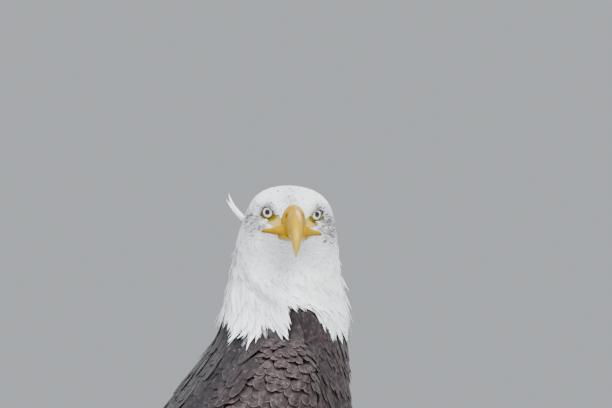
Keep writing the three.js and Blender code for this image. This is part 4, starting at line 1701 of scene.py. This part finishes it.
@dataclass
class Bill:
    """Upper and lower bill, the cere with its nostrils, and the yellow lips of the mouth.

    Attributes:
        nostril: The middle of the left nostril [forward, height].
        nostril_size: Its half length and half width.
        nostril_depth: How deep it goes.
        lip: The lips' middle line [side, forward, height], from the bill to the corner.
        lip_height: Half their height along that line.
        lip_depth: Half their thickness along it.
    """

    nostril: Pair = (70.8, -28.0)
    nostril_size: Pair = (2.9, 2.0)
    nostril_depth: float = 3.0
    lip: tuple = ((4.0, 70, -40.5), (20, 61, -43.6), (30, 42, -43.4))
    lip_height: Sequence[float] = (10.0, 5.8, 3.5, 2.5, 2.9)
    lip_depth: Sequence[float] = (3.0, 3.2, 2.8, 2.4, 2.5)

    def nostrils(self, points: Array) -> Array:
        """How deep each point lies in a nostril, from 0 to 1: a bell over a leaning oval."""
        local = in_head(points)
        forward, height = local[..., 1] - self.nostril[0], local[..., 2] - self.nostril[1]
        along = height * 0.93 + forward * 0.36
        across = forward * 0.93 - height * 0.36
        gap = (along / self.nostril_size[0]) ** 2 + (across / self.nostril_size[1]) ** 2
        return smooth(np.exp(-gap), 0.12, 0.45) * (np.abs(local[..., 0]) > 2)

    def horn(self, name: str, table: Sequence, rings: int, columns: int) -> Piece:
        """A piece of horn through its stations, with its length as a field.

        Args:
            name: The piece's name.
            table: Rows of its stations.
            rings: How many rings it has.
            columns: How many points a ring has.

        Returns:
            The piece.
        """
        surface = head_loft(table)
        u = np.linspace(0, surface.end, rings)
        piece = closed(name, surface, u, circle(columns))
        add_field(piece.data, "along", np.repeat(u / surface.end, columns))
        return Palette.HORN.dress(piece, "horn")

    def lips(self, side: int) -> Piece:
        """The lips of one side: a round tube that thins to the corner, creased along the mouth."""
        share = np.linspace(0, 1, 48)
        middle = bezier(np.array(self.lip) * [side, 1, 1], share)
        way = unit(np.gradient(middle, axis=0))
        out = unit(np.cross(way, [0, 0, 1])) * side
        angle = circle(40)[None]
        end = np.sqrt(1 - np.clip((share - 0.92) / 0.081, 0, 1) ** 2)
        tall, thick = (spline(rows, share * 4) * end for rows in (self.lip_height, self.lip_depth))
        crease = 1 - 0.3 * bell(angle + 0.55 - FULL_TURN, 0.22)
        reach, rise = thick[:, None] * crease * np.cos(angle), tall[:, None] * crease * np.sin(angle)
        local = middle[:, None] + reach[..., None] * out[:, None] + rise[..., None] * [0, 0, 1]
        return shell("lips", from_head(local))

    def cere(self) -> Piece:
        """The cere with sunk nostrils, joined to the lips of both sides."""
        surface = head_loft(CERE)
        rings = surface.at(np.linspace(0, surface.end, 60)[:, None], circle(128)[None])
        local = in_head(rings)
        local[..., 0] -= np.sign(local[..., 0]) * self.nostril_depth * self.nostrils(rings)
        body = shell("cere_body", from_head(local))
        piece = union("cere_soft", [body] + [self.lips(side) for side in SIDES.values()])
        points = mesh_points(piece)
        local = mirrored(in_head(points))
        mouth = Form((12, 68, -45.6), (23, 56, -45.6), 0.8, 1.0)
        corner = Form((23, 56, -45.6), (32.5, 42, -44.6), 0.8, 1.0)
        line = np.maximum(mouth.lift(local), corner.lift(local)) * 0.42
        # The nostrils and the mouth line form the crease field, which the finish darkens as painted
        # shade.
        crease = np.maximum(self.nostrils(points), line)
        add_field(piece.data, "crease", crease)
        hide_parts("cere")
        return Palette.CERE.dress(piece, "cere_skin")

    def build(self) -> None:
        """Makes the bill's pieces."""
        upper = self.horn("horn_upper", UPPER_BILL, 90, 64)
        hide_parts("bill_upper")
        lower = self.horn("horn_lower", LOWER_BILL, 50, 48)
        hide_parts("bill_lower")
        self.cere()


# ---- Coats ----

BODY = Loft(BODY_STATIONS, BODY_FORMS)


class Cover:
    """The outline of a form, which tells what lies inside it."""

    def __init__(self, surface: Surface, end: Optional[float] = None) -> None:
        """Skins the outline.

        Args:
            surface: The form.
            end: Where the outline ends, if before the form does.
        """
        u = np.linspace(0.002, 1, 60)[:, None] * (end or surface.end)
        points, faces = tube(surface.at(u, circle(60)[None], 0.0))
        centre = points.mean(0)
        a, b, c = (points[faces[:, i]] - centre for i in range(3))
        self.sense = math.copysign(1.0, float(np.sum(a * np.cross(b, c))))
        self.tree = BVHTree.FromPolygons(points.tolist(), faces.tolist())

    def depth(self, points: Array) -> Array:
        """How deep points lie inside, in metres; below zero outside."""
        depths = np.empty(len(points))
        for i, point in enumerate(points.tolist()):
            spot, normal, _, distance = self.tree.find_nearest(point)
            outward = (Vector(point) - spot).dot(normal) * self.sense
            depths[i] = -math.copysign(distance, outward)
        return depths


def clear_of(covers: Sequence[Cover], depth: float, also: Optional[Rule] = None) -> Rule:
    """A rule that leaves out feathers of which root and tip both lie inside other forms.

    Args:
        covers: The forms.
        depth: How deep both ends may lie, in metres.
        also: Another rule that must hold.

    Returns:
        The rule, from roots and tips to what stays.
    """

    def rule(roots: Array, tips: Array) -> Array:
        """Which feathers stay."""
        keep = np.ones(len(roots), bool) if also is None else also(roots, tips)
        for cover in covers:
            keep &= ~((cover.depth(roots) > depth) & (cover.depth(tips) > depth))
        return keep

    return rule


def on_face(roots: Array, tips: Array) -> Array:
    """Keeps feathers off the eyes and the lips, and thins them out on the lores."""
    local, ends = in_head(roots), in_head(tips)
    keep = np.ones(len(roots), bool)
    near = roots[:, 2] > HEAD_BASE
    for side in SIDES.values():
        for spots in (local, ends):
            out, low, ahead = SEAT.ring(spots, side)
            keep &= ~(near & ahead & (out < 0.8 + 0.9 * low))
    local = mirrored(local)
    lips = Form((8.5, 68, -43), (22, 57, -44.5), 5, 1).lift(local)
    lips = np.maximum(lips, Form((22, 57, -44.5), (29, 43, -44), 3, 1).lift(local))
    lore = Form((22, 51, -31), (13, 61, -34), 7.5, 1).lift(local)
    sparse = np.modf(np.abs(roots[:, 0]) * 1e5)[0]
    return keep & (lips < 0.45) & (lore < 0.4 + 0.25 * sparse)


def white_tip(roots: Array, tips: Array) -> Array:
    """Keeps feathers whose tips lie on the white neck."""
    return height_of(tips) > MARKINGS.edge(tips)


def brown_root(roots: Array, tips: Array) -> Array:
    """Keeps feathers whose roots lie under or below the edge of the white."""
    return height_of(roots) < MARKINGS.edge(roots) + 16


def white_rump(roots: Array, tips: Array) -> Array:
    """Keeps feathers whose tips lie on the white of the tail's coverts."""
    return MARKINGS.tail_white(tips) > 0.5


def brown_rump(roots: Array, tips: Array) -> Array:
    """Keeps the feathers that white_rump leaves out."""
    return ~white_rump(roots, tips)


@dataclass
class Coat:
    """The small feathers of head, body and legs.

    Attributes:
        body: The form of the body.
        wings: The outlines of the wings' arms, which hide what lies in them.
        thighs: The forms of the thighs.
    """

    body: Loft
    wings: Sequence[Cover]
    thighs: Sequence[Thigh]

    def head(self) -> list[Tract]:
        """Face, crown, cheeks and nape."""
        common = {"surface": self.body, "look": white_look, "rise": (0.62, 0.92)}
        face = {**common, "vane": TUFT, "roll": 5, "keep": on_face}
        return [
            Tract("face_tufts", span=(0.12, 1.6), pitch=((1.25, 0.9), (1.6, 1.2)), length=(4, 6.2),
                width=(1.5, 2.1), seed=1, **face),
            Tract("brow_tufts", span=(1.6, 2.9), pitch=((1.6, 1.2), (2.1, 1.6)), length=(6.2, 9),
                width=(2.1, 2.8), seed=2, locks=0.05, **face),
            Tract("crown_tufts", span=(2.8, 4.3), pitch=((2.1, 1.6), (3, 2.3)), length=(9, 16),
                width=(2.8, 4), vane=CROWN_TUFT, roll=8, keep=on_face, seed=3, locks=0.1, **common),
            Tract("nape_tufts", span=(4.1, 5.6), pitch=((3, 2.3), (4.2, 3.2)), length=(16, 28),
                width=(4, 5.6), vane=CROWN_TUFT, lie=hanging(0.2), roll=10, seed=4, loose=0.008,
                locks=0.16, **common),
        ]

    def neck(self) -> list[Tract]:
        """The pointed hackles, down to the jagged edge of the white."""
        common = {"surface": self.body, "look": white_look, "vane": HACKLE, "roll": 14}
        return [
            Tract("upper_hackles", span=(5.4, 7.2), pitch=((4.2, 3.2), (5.4, 4.2)), length=(28, 44),
                width=(5.4, 7.4), lie=hanging(0.45), rise=(0.55, 1), keep=white_tip, seed=5,
                loose=0.022, locks=0.34, **common),
            Tract("lower_hackles", span=(7.1, 10.2), pitch=((5.4, 4.2), (7, 6)), length=(42, 54),
                width=(7.4, 10), lie=hanging(0.6), rise=(0.6, 1.08), keep=white_tip, seed=6, loose=0.02,
                locks=0.36, **common),
        ]

    def trunk(self) -> list[Tract]:
        """Brown breast, belly and mantle, and the coverts over and under the tail."""
        breast = clear_of(self.wings, 0.006, brown_root)
        return [
            Tract("breast_feathers", self.body, (6.5, 13.4), ((7.5, 6.5), (11, 10)), (30, 46), (11, 17),
                STREAK, brown_look, hanging(0.5), (0.9, FULL_TURN - 0.9), (0.4, 0.92), keep=breast,
                seed=7, loose=0.01, locks=0.1),
            Tract("mantle_feathers", self.body, (7, 13.4), ((10, 9), (15, 14)), (34, 54), (16, 25),
                CONTOUR, brown_look, hanging(0.2), (-1, 1), (0.6, 0.8), keep=breast, roll=4, seed=8),
            Tract("rump_feathers", self.body, (13.2, 15.4), ((12, 11), (13, 11)), (46, 52), (20, 22),
                CONTOUR, brown_look, keep=clear_of(self.wings, 0.01, brown_rump), seed=9),
            Tract("tail_coverts", self.body, (13.6, 15.98), ((10, 8), (9, 8)), (50, 78), (15, 19),
                CONTOUR, white_look, rise=(0.35, 0.3), jitter=0.4, roll=4, keep=clear_of(self.wings,
                0.01, white_rump), seed=10),
        ]

    def legs(self) -> list[Tract]:
        """The long feathers of the thighs."""
        rule = clear_of([Cover(self.body)], 0.008)
        return [
            Tract(f"thigh_feathers_{letter}", thigh, (0.2, 4.98), ((9, 7.5), (8, 6.5), (5, 4)), (46, 42,
                22), (13, 11, 6.5), STREAK, brown_look, hanging(0.5), keep=rule, seed=11 + i)
            for i, (letter, thigh) in enumerate(zip(SIDES, self.thighs))
        ]

    def build(self) -> None:
        """Makes every tract's piece."""
        for tract in self.head() + self.neck():
            Palette.WHITE.dress(tract.build(), "white_plumage")
        breast, mantle, rump, coverts = self.trunk()
        Palette.BROWN.dress(breast.build(), "brown_plumage")
        Palette.MANTLE.dress(mantle.build(), "brown_plumage")
        Palette.BROWN.dress(rump.build(), "brown_plumage")
        Palette.WHITE.dress(coverts.build(), "white_plumage")
        for tract in self.legs():
            Palette.BROWN.dress(tract.build(), "brown_plumage")


# ---- Large feathers ----


@dataclass
class Plume:
    """A feather that has come loose behind the right eye and stands out in two prongs.

    Attributes:
        shafts: The control points of each prong [side, forward, height].
        widths: Their widths, in millimetres.
    """

    shafts: tuple = (
        ((-40, 6, -38), (-50, 3, -31.5), (-58.5, 0, -22), (-60.5, -4, -10.5)),
        ((-43, 5, -36), (-52, 2, -29.5), (-59, 0, -23.5), (-62.5, -3, -16.5)),
        ((-40, 7, -36), (-47, 5, -33), (-54, 3, -27), (-57, 0, -19)),
    )
    widths: tuple[float, ...] = (5.2, 3.6, 3.4)

    def build(self) -> None:
        """Makes the prongs as pointed vanes that face sideways."""
        steps = np.array(HACKLE.steps)
        paths = from_head(np.stack([bezier(shaft, steps) for shaft in self.shafts]))
        count = len(self.shafts)
        facing = turned(PIVOT + np.array([-0.25, -0.85, 0.35])) - PIVOT
        normals = np.broadcast_to(unit(facing), paths.shape)
        looks = np.tile([0.15, 0.0, 0.6], (count, 1))
        cells = np.stack([(np.arange(count) + 0.5) / count, np.full(count, 0.5)], -1)
        plume = Feathers(paths, normals, np.array(self.widths) * MM, looks, cells, (0.2, 0.8),
            np.zeros(count))
        piece = plume.build("loose_plume", HACKLE, np.random.default_rng(SEED))
        Palette.WHITE.dress(piece, "white_plumage")


@dataclass
class Tail:
    """The blade of the closed tail.

    Attributes:
        root: Where its middle line starts [forward, height].
        slope: How far it slopes down.
        rows: Rows of distance from the root, half breadth and half thickness.
        camber: How far its edges hang.
    """

    root: Pair = (-272, -424)
    slope: float = math.radians(41)
    rows: tuple = (
        (0, 27, 11), (60, 36, 9), (130, 47, 6), (200, 56, 3.6), (240, 57, 2.6), (258, 48, 2.2),
        (264, 33, 2),
    )
    camber: float = 7.0

    def inside(self, u: Array, across: Array, depth: Array) -> Array:
        """Points inside the blade, in metres: up is the thickness less the camber, and all is
        turned down by the slope.

        Args:
            u: Places in the table's rows, as shares.
            across: Shares of the half breadth, to the bird's left.
            depth: Shares of the half thickness, upwards.
        """
        along, half, thick = np.moveaxis(spline(self.rows, u * (len(self.rows) - 1)), -1, 0)
        edge = np.sqrt(np.maximum(1 - across**2, 0))
        lift = thick * depth * edge - self.camber * across**2
        cos, sin = math.cos(self.slope), math.sin(self.slope)
        forward = self.root[0] - along * cos - lift * sin
        height = self.root[1] - along * sin + lift * cos
        return place(across * half, forward, height)


@dataclass
class Row:
    """A row of large feathers in a blade, with values given from its first to its last feather.

    Attributes:
        name: The piece's name.
        fan: The blade that they lie in.
        count: How many feathers.
        u: Places of roots and tips along the blade.
        across: Places of roots and tips over its breadth.
        depth: Places of roots and tips through its thickness.
        width: Of the feathers, in millimetres.
        vane: Their shape.
        look: Their tones.
        roll: How far each is turned about its shaft, in degrees.
        seed: Draws the chances.
        uneven: How much their lengths differ, as a share of the blade's.
    """

    name: str
    fan: Union[Wing, Tail]
    count: int
    u: tuple[Sequence[float], Sequence[float]]
    across: tuple[Sequence[float], Sequence[float]]
    depth: tuple[Sequence[float], Sequence[float]]
    width: Sequence[float]
    vane: Vane
    look: Look
    roll: float = 5.0
    seed: int = 1
    uneven: float = 0.003

    def spread(self, values: Sequence[float]) -> Array:
        """A column with one value for each feather, from the first to the last."""
        return spline(values, np.linspace(0, 1, self.count) * (len(values) - 1))[:, None]

    def feathers(self) -> Feathers:
        """Lays the feathers in their blade."""
        rng = np.random.default_rng(SEED + 200 + self.seed)
        steps = np.array(self.vane.steps)[None]
        u, across, depth = (
            self.spread(roots) * (1 - steps) + self.spread(tips) * steps
            for roots, tips in (self.u, self.across, self.depth)
        )
        u = u + rng.normal(0, self.uneven, (self.count, 1)) * steps
        paths = self.fan.inside(u, across, depth)
        top, under = (self.fan.inside(u, across * 0.98, depth * 0 + end) for end in (1, -1))
        widths = self.spread(self.width)[:, 0] * MM * rng.uniform(0.96, 1.04, self.count)
        looks = self.look(paths[:, 0], paths[:, -1], rng)
        cells = np.stack([(np.arange(self.count) + 0.5) / self.count, np.full(self.count, 0.5)], -1)
        rolls = np.full(self.count, math.radians(self.roll)) + rng.normal(0, 0.015, self.count)
        patch = (0.85 / self.count, 0.9)
        return Feathers(paths, unit(top - under), widths, looks, cells, patch, rolls)

    def build(self) -> Piece:
        """Makes the row's piece."""
        rng = np.random.default_rng(SEED + 300 + self.seed)
        return self.feathers().build(self.name, self.vane, rng)


@dataclass
class WingFeathers:
    """Everything that clothes one folded wing.

    Attributes:
        letter: L for the bird's left wing, R for its right.
        wing: The wing's form.
        body: The body's outline, which hides what lies in it.
    """

    letter: str
    wing: Wing
    body: Cover

    def small(self) -> list[Tract]:
        """Scaly lesser coverts, the soft lining of the inner side, and the scapulars."""
        rule, over, tag = clear_of([self.body], 0.004), hanging(0), self.letter
        return [
            Tract(f"lesser_coverts_{tag}", self.wing, (0.0012, 0.29), ((5.5, 5), (11, 10), (14, 13),
                (15, 14)), (12, 24, 30, 34), (7.5, 15, 19, 20), SCALE, covert_look, over, (-0.35,
                math.pi + 0.35), (0, 0.95), 0.34, 9, rule, 20),
            Tract(f"wing_lining_{tag}", self.wing, (0.02, 0.6), ((12, 12), (16, 15)), (28, 44), (18,
                26), CONTOUR, brown_look, over, (math.pi + 0.2, FULL_TURN - 0.2), (0, 0.9), 0.2, 5,
                rule, 21),
            Tract(f"scapulars_{tag}", self.wing, (0.02, 0.33), ((9, 8), (12, 10), (15, 12)), (28, 40,
                58), (13, 16, 22), CONTOUR, brown_look, hanging(0.2), (-0.8, 0.7), (0.75, 1.3), 0.4, 4,
                None, 27),
        ]

    def rows(self) -> list[Row]:
        """Median and greater coverts, secondaries and primaries."""
        fan, turn, tag = self.wing, 6 * self.wing.side, self.letter
        return [
            Row(f"median_coverts_{tag}", fan, 15, ((0.21, 0.26), (0.33, 0.385)), ((-0.96, 0.96), (-0.97,
                0.97)), ((0.9, 0.9), (1, 1)), (24, 26), COVERT, covert_look, turn, 22, 0.012),
            Row(f"greater_coverts_{tag}", fan, 15, ((0.28, 0.33), (0.445, 0.5)), ((-0.95, 0.95), (-0.97,
                0.97)), ((0.86, 0.86), (0.98, 0.98)), (26, 29), COVERT, covert_look, turn, 23, 0.01),
            Row(f"secondaries_{tag}", fan, 15, ((0.34, 0.42), (0.62, 0.7)), ((-0.9, 0.93), (-0.93,
                0.95)), ((0.8, 0.8), (0.94, 0.94)), (30, 34), QUILL, covert_look, turn, 24, 0.006),
            Row(f"primaries_{tag}", fan, 10, ((0.48, 0.5), (0.985, 0.8)), ((-0.7, 0.6), (-0.1, -0.2)),
                ((-0.5, 0.5), (-0.6, 0.8)), (26, 30), QUILL, brown_look, turn, 25),
            Row(f"lower_secondaries_{tag}", fan, 12, ((0.4, 0.44), (0.63, 0.68)), ((-0.9, 0.9), (-0.93,
                0.93)), ((-0.7, -0.7), (-0.92, -0.92)), (30, 34), QUILL, brown_look, -turn, 26),
        ]

    def build(self) -> None:
        """Makes the wing's pieces."""
        scales, lining, scapulars = self.small()
        Palette.COVERTS.dress(scales.build(), "wing_coverts")
        Palette.BROWN.dress(lining.build(), "wing_coverts")
        Palette.BROWN.dress(scapulars.build(), "brown_plumage")
        for row in self.rows():
            piece = row.build()
            if "secondaries" in row.name or "primaries" in row.name:
                Palette.FLIGHT.dress(piece, "flight_feathers")
            else:
                Palette.COVERTS.dress(piece, "wing_coverts")
            for part in ("secondaries", "primaries"):
                if row.name == f"{part}_{self.letter}":
                    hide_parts(f"wing_{self.letter}_{part}")


@dataclass
class TailFeathers:
    """Twelve tail feathers: one pair in the middle on top, and the others fanned under it."""

    def build(self) -> None:
        """Makes both halves in a row each, from the outermost feather to the middle."""
        for letter, side in SIDES.items():
            over = 0.35 if side > 0 else 0.0
            row = Row(f"tail_feathers_{letter}", Tail(), 6, ((0.02, 0.02), (0.64, 0.76, 0.96)),
                ((0.55 * side, 0.10 * side), (0.68 * side, 0.46 * side, 0.10 * side)), ((-0.7,
                0.6 + over), (-0.7, 0.7 + over)), (34, 38, 40), QUILL, white_look, 3.0 * side, 30)
            piece = Palette.TAIL.dress(row.build(), "white_plumage")
            if side > 0:
                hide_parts("tail")


# ---- Feet ----


@dataclass(frozen=True)
class Toe:
    """One toe and its claw, in millimetres and degrees.

    Attributes:
        points: The way it points, outwards from straight ahead.
        reach: Its level reach.
        radius: Its thickness at the root.
        claw: Its claw's length.
    """

    points: float
    reach: float
    radius: float
    claw: float

    def aim(self) -> Array:
        """The level way that it points, for a left foot."""
        angle = math.radians(self.points)
        return np.array([math.sin(angle), -math.cos(angle), 0.0])

    def curve(self) -> Array:
        """The control points of its middle line."""
        low = self.radius - 1.5
        heights = (low + 6, low - 1.8, low * 0.73 + 1.8)
        reaches = (6.0, self.reach * 0.45, self.reach)
        return np.array([self.aim() * r + [0, 0, h] for r, h in zip(reaches, heights)])

    def claw_curve(self) -> Array:
        """The control points of the claw's middle line."""
        curve = self.curve()
        onward = unit(curve[2] - curve[1])
        root = curve[2] - onward * 1.5
        bow = root + self.aim() * self.claw * 0.6
        bow[2] = curve[2][2] + self.claw * 0.17
        tip = self.aim() * (self.reach + self.claw * 0.8) + [0, 0, 1.2]
        return np.array([root, root + onward * self.claw * 0.32, bow, tip])


TOES = {
    "inner": Toe(-32, 62, 9.4, 38),
    "middle": Toe(3, 82, 9, 34),
    "outer": Toe(38, 66, 8.4, 30),
    "hind": Toe(176, 46, 9.6, 42),
}


def rod(curve: Array, girth: Array, sides: Array) -> Array:
    """Rings round a curve that lies in an upright plane.

    Args:
        curve: Points along the middle line.
        girth: Radii, with one row for each point and one column for each side.
        sides: Angles of the ring's points, from the level side upwards.

    Returns:
        The rings' points.
    """
    way = unit(np.gradient(curve, axis=0))
    level = unit(np.cross(way, [0, 0, 1.0]))
    up = np.cross(level, way)
    ring = np.cos(sides)[None, :, None] * level[:, None] + np.sin(sides)[None, :, None] * up[:, None]
    return curve[:, None] + girth[..., None] * ring


@dataclass
class Foot:
    """One bare leg with its toes and claws.

    Attributes:
        letter: L for the bird's left leg, R for its right.
        side: 1 for the left and -1 for the right.
        spot: Where the left leg stands [side, forward].
        tarsus: Height, forward place and radius down the bare leg.
        lowest: How far over the floor the soles are flattened, in metres.
    """

    letter: str
    side: int
    spot: Pair = (55.0, SOLE_FORWARD)
    tarsus: tuple = ((68, -22, 9.2), (44, -13, 9.2), (26, -4, 10.4), (13, 0, 13), (-2, 0, 13.5))
    lowest: float = 0.00002

    def moved(self, points: Array) -> Array:
        """Points of a left foot, put under this leg, in metres."""
        points = points * [self.side, 1, 1] * MM
        return points + [self.side * self.spot[0] * MM, MIDDLE - self.spot[1] * MM, 0]

    def scaly(self, name: str, rings: Array, crease: Array) -> Piece:
        """A piece of yellow skin with its sole flattened and its creases as a field."""
        rings = self.moved(rings)
        rings[..., 2] = np.maximum(rings[..., 2], self.lowest)
        piece = shell(name, rings, {"crease": crease.ravel()})
        return Palette.LEG.dress(piece, "yellow_skin")

    def toe(self, name: str, toe: Toe) -> Piece:
        """A toe with knuckles and scutes above and pads below."""
        share, sides = np.linspace(0, 1, 70), circle(40)
        curve = bezier(toe.curve(), share)
        knuckle = np.cos(FULL_TURN * 3 * share) * 0.06
        end = np.sqrt(1 - np.clip((share - 0.93) / 0.08, 0, 1) ** 2)
        upper = np.clip(np.sin(sides), 0, 1)[None]
        scute = np.abs(np.sin(share * toe.reach / 4.2 * math.pi))[:, None] ** 0.6
        relief = (scute - 0.6) * 0.5 * upper**0.7
        pads = 0.9 * (0.5 + 0.5 * np.cos(FULL_TURN * 3 * share + 0.6))[:, None]
        pads = pads * np.clip(-np.sin(sides), 0, 1)
        girth = (toe.radius * (1 - 0.27 * share + knuckle) * end)[:, None] + relief + pads
        # The grooves between scutes form the crease field, which the finish darkens as painted shade.
        crease = (1 - scute) * (upper > 0.15)
        piece = self.scaly(f"toe_skin_{self.letter}_{name}", rod(curve, girth, sides), crease)
        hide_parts(f"toe_{self.letter}_{name}")
        return piece

    def shank(self) -> Piece:
        """The bare leg, with scutes in front."""
        share, sides = np.linspace(0, 1, 70), circle(48)
        height, forward, radius = np.moveaxis(spline(self.tarsus, share * 4), -1, 0)
        front = np.clip(-np.sin(sides), 0, 1)[None] ** 0.5
        scute = np.abs(np.sin(height / 5.0 * math.pi))[:, None] ** 0.6
        girth = radius[:, None] + (scute - 0.6) * 0.5 * front
        x = girth * np.cos(sides)
        y = girth * np.sin(sides) - forward[:, None]
        rings = np.stack([x, y, np.broadcast_to(height[:, None], x.shape)], -1)
        # The grooves between scutes form the crease field, which the finish darkens as painted shade.
        piece = self.scaly(f"leg_skin_{self.letter}", rings, (1 - scute) * (front > 0.3))
        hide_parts(f"tarsus_{self.letter}")
        return piece

    def claw(self, name: str, toe: Toe) -> Piece:
        """A claw: a thinning rod, flatter below."""
        share, sides = np.linspace(0, 1, 48), circle(24)
        curve = bezier(toe.claw_curve(), share)
        start, flatter = toe.radius * 0.73, 1 - 0.1 * np.clip(-np.sin(sides), 0, 1)
        girth = (start + (0.35 - start) * share**0.8)[:, None] * flatter
        rings = self.moved(rod(curve, girth, sides))
        fields = {"along": np.repeat(share, len(sides))}
        piece = shell(f"claw_horn_{self.letter}_{name}", rings, fields)
        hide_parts(f"claw_{self.letter}_{name}")
        return Palette.TALON.dress(piece, "talon")

    def build(self) -> None:
        """Makes the leg, toes and claws."""
        self.shank()
        for name, toe in TOES.items():
            self.toe(name, toe)
            self.claw(name, toe)


# ---- Stage ----


@dataclass
class Stage:
    """Floor, lights and camera.

    Attributes:
        azimuth: The camera's turn round the bird, in degrees.
        elevation: Its height over the level, in degrees.
        distance: To its target, in metres.
        target: What it looks at, in metres; the height counts from the crown.
        lens: Its focal length in millimetres.
    """

    azimuth: float = 260.0
    elevation: float = 2.5
    distance: float = 4.5
    target: Place = (0.0026, -0.21858, -0.0186)
    lens: float = 264.7

    def away(self) -> Array:
        """The way from the target to the camera."""
        a, e = math.radians(self.azimuth), math.radians(self.elevation)
        return np.array([math.sin(a) * math.cos(e), -math.cos(a) * math.cos(e), math.sin(e)])

    def lamps(self) -> None:
        """Three soft square lamps round the middle of the bird, all shining at it."""
        middle, away = np.array([0, MIDDLE, 0.45]), self.away()
        right = np.cross([0, 0, 1], away)
        for name, ahead, beside, above, size, power, tint in (
            ("key", 1.6, 0.7, 1.9, 1.2, 145, (1, 0.98, 0.95)),
            ("fill", 1.3, -1.3, 1.7, 1.6, 70, (0.94, 0.97, 1)),
            ("rim", -1.7, 0.8, 1.5, 1.4, 36, (1, 1, 1)),
        ):
            spot = middle + away * ahead + right * beside + [0, 0, above]
            data = bpy.data.lights.new(name, "AREA")
            data.size, data.energy, data.color = size, power, tint
            lamp = add_object(name, data)
            lamp.location = Vector(spot)
            aim = Vector(middle) - Vector(spot)
            lamp.rotation_euler = aim.to_track_quat("-Z", "Y").to_euler()

    def floor(self) -> None:
        """A pale plain floor under the feet."""
        corners = np.array([[-4, -4, 0], [4, -4, 0], [4, 4, 0], [-4, 4, 0]], float)
        floor = make_piece("floor", corners, np.array([[0, 1, 2, 3]]))
        board = Board("floor_paper")
        grain = board.noise(0.05, 3.0)
        board.colour = board.mix((0.60, 0.60, 0.59), (0.64, 0.64, 0.63), grain)
        floor.data.materials.append(board.dress(Roughness=0.9))

    def camera(self) -> None:
        """The camera."""
        target = np.array(self.target) + [0, 0, CROWN]
        data = bpy.data.cameras.new("camera")
        data.lens, data.sensor_width = self.lens, 36.0
        data.clip_end = 50.0
        camera = add_object("camera", data)
        away = self.away()
        camera.location = Vector(target + away * self.distance)
        camera.rotation_euler = Vector(away).to_track_quat("Z", "Y").to_euler()
        bpy.context.scene.camera = camera

    def build(self) -> None:
        """Makes the floor, the camera, the world and the lamps."""
        self.floor()
        self.camera()
        world = bpy.data.worlds.new("studio")
        world.use_nodes = True
        shade = next(n for n in world.node_tree.nodes if n.type == "BACKGROUND")
        shade.inputs["Color"].default_value = (0.36, 0.38, 0.40, 1)
        shade.inputs["Strength"].default_value = 1.3
        bpy.context.scene.world = world
        self.lamps()


# ---- Whole bird ----


def main() -> None:
    """Builds the bird and its stage."""
    logging.basicConfig(level=logging.INFO, format="%(name)s: %(message)s")
    wings = [Wing(side) for side in SIDES.values()]
    thighs = [Thigh(side) for side in SIDES.values()]
    Skin(BODY, wings, thighs).build()
    Eyes().build()
    Bill().build()
    Coat(BODY, [Cover(wing, ARM_REACH) for wing in wings], thighs).build()
    Plume().build()
    body = Cover(BODY)
    for letter, wing in zip(SIDES, wings):
        WingFeathers(letter, wing, body).build()
    TailFeathers().build()
    for letter, side in SIDES.items():
        Foot(letter, side).build()
    Stage().build()


if __name__ == "__main__":
    main()
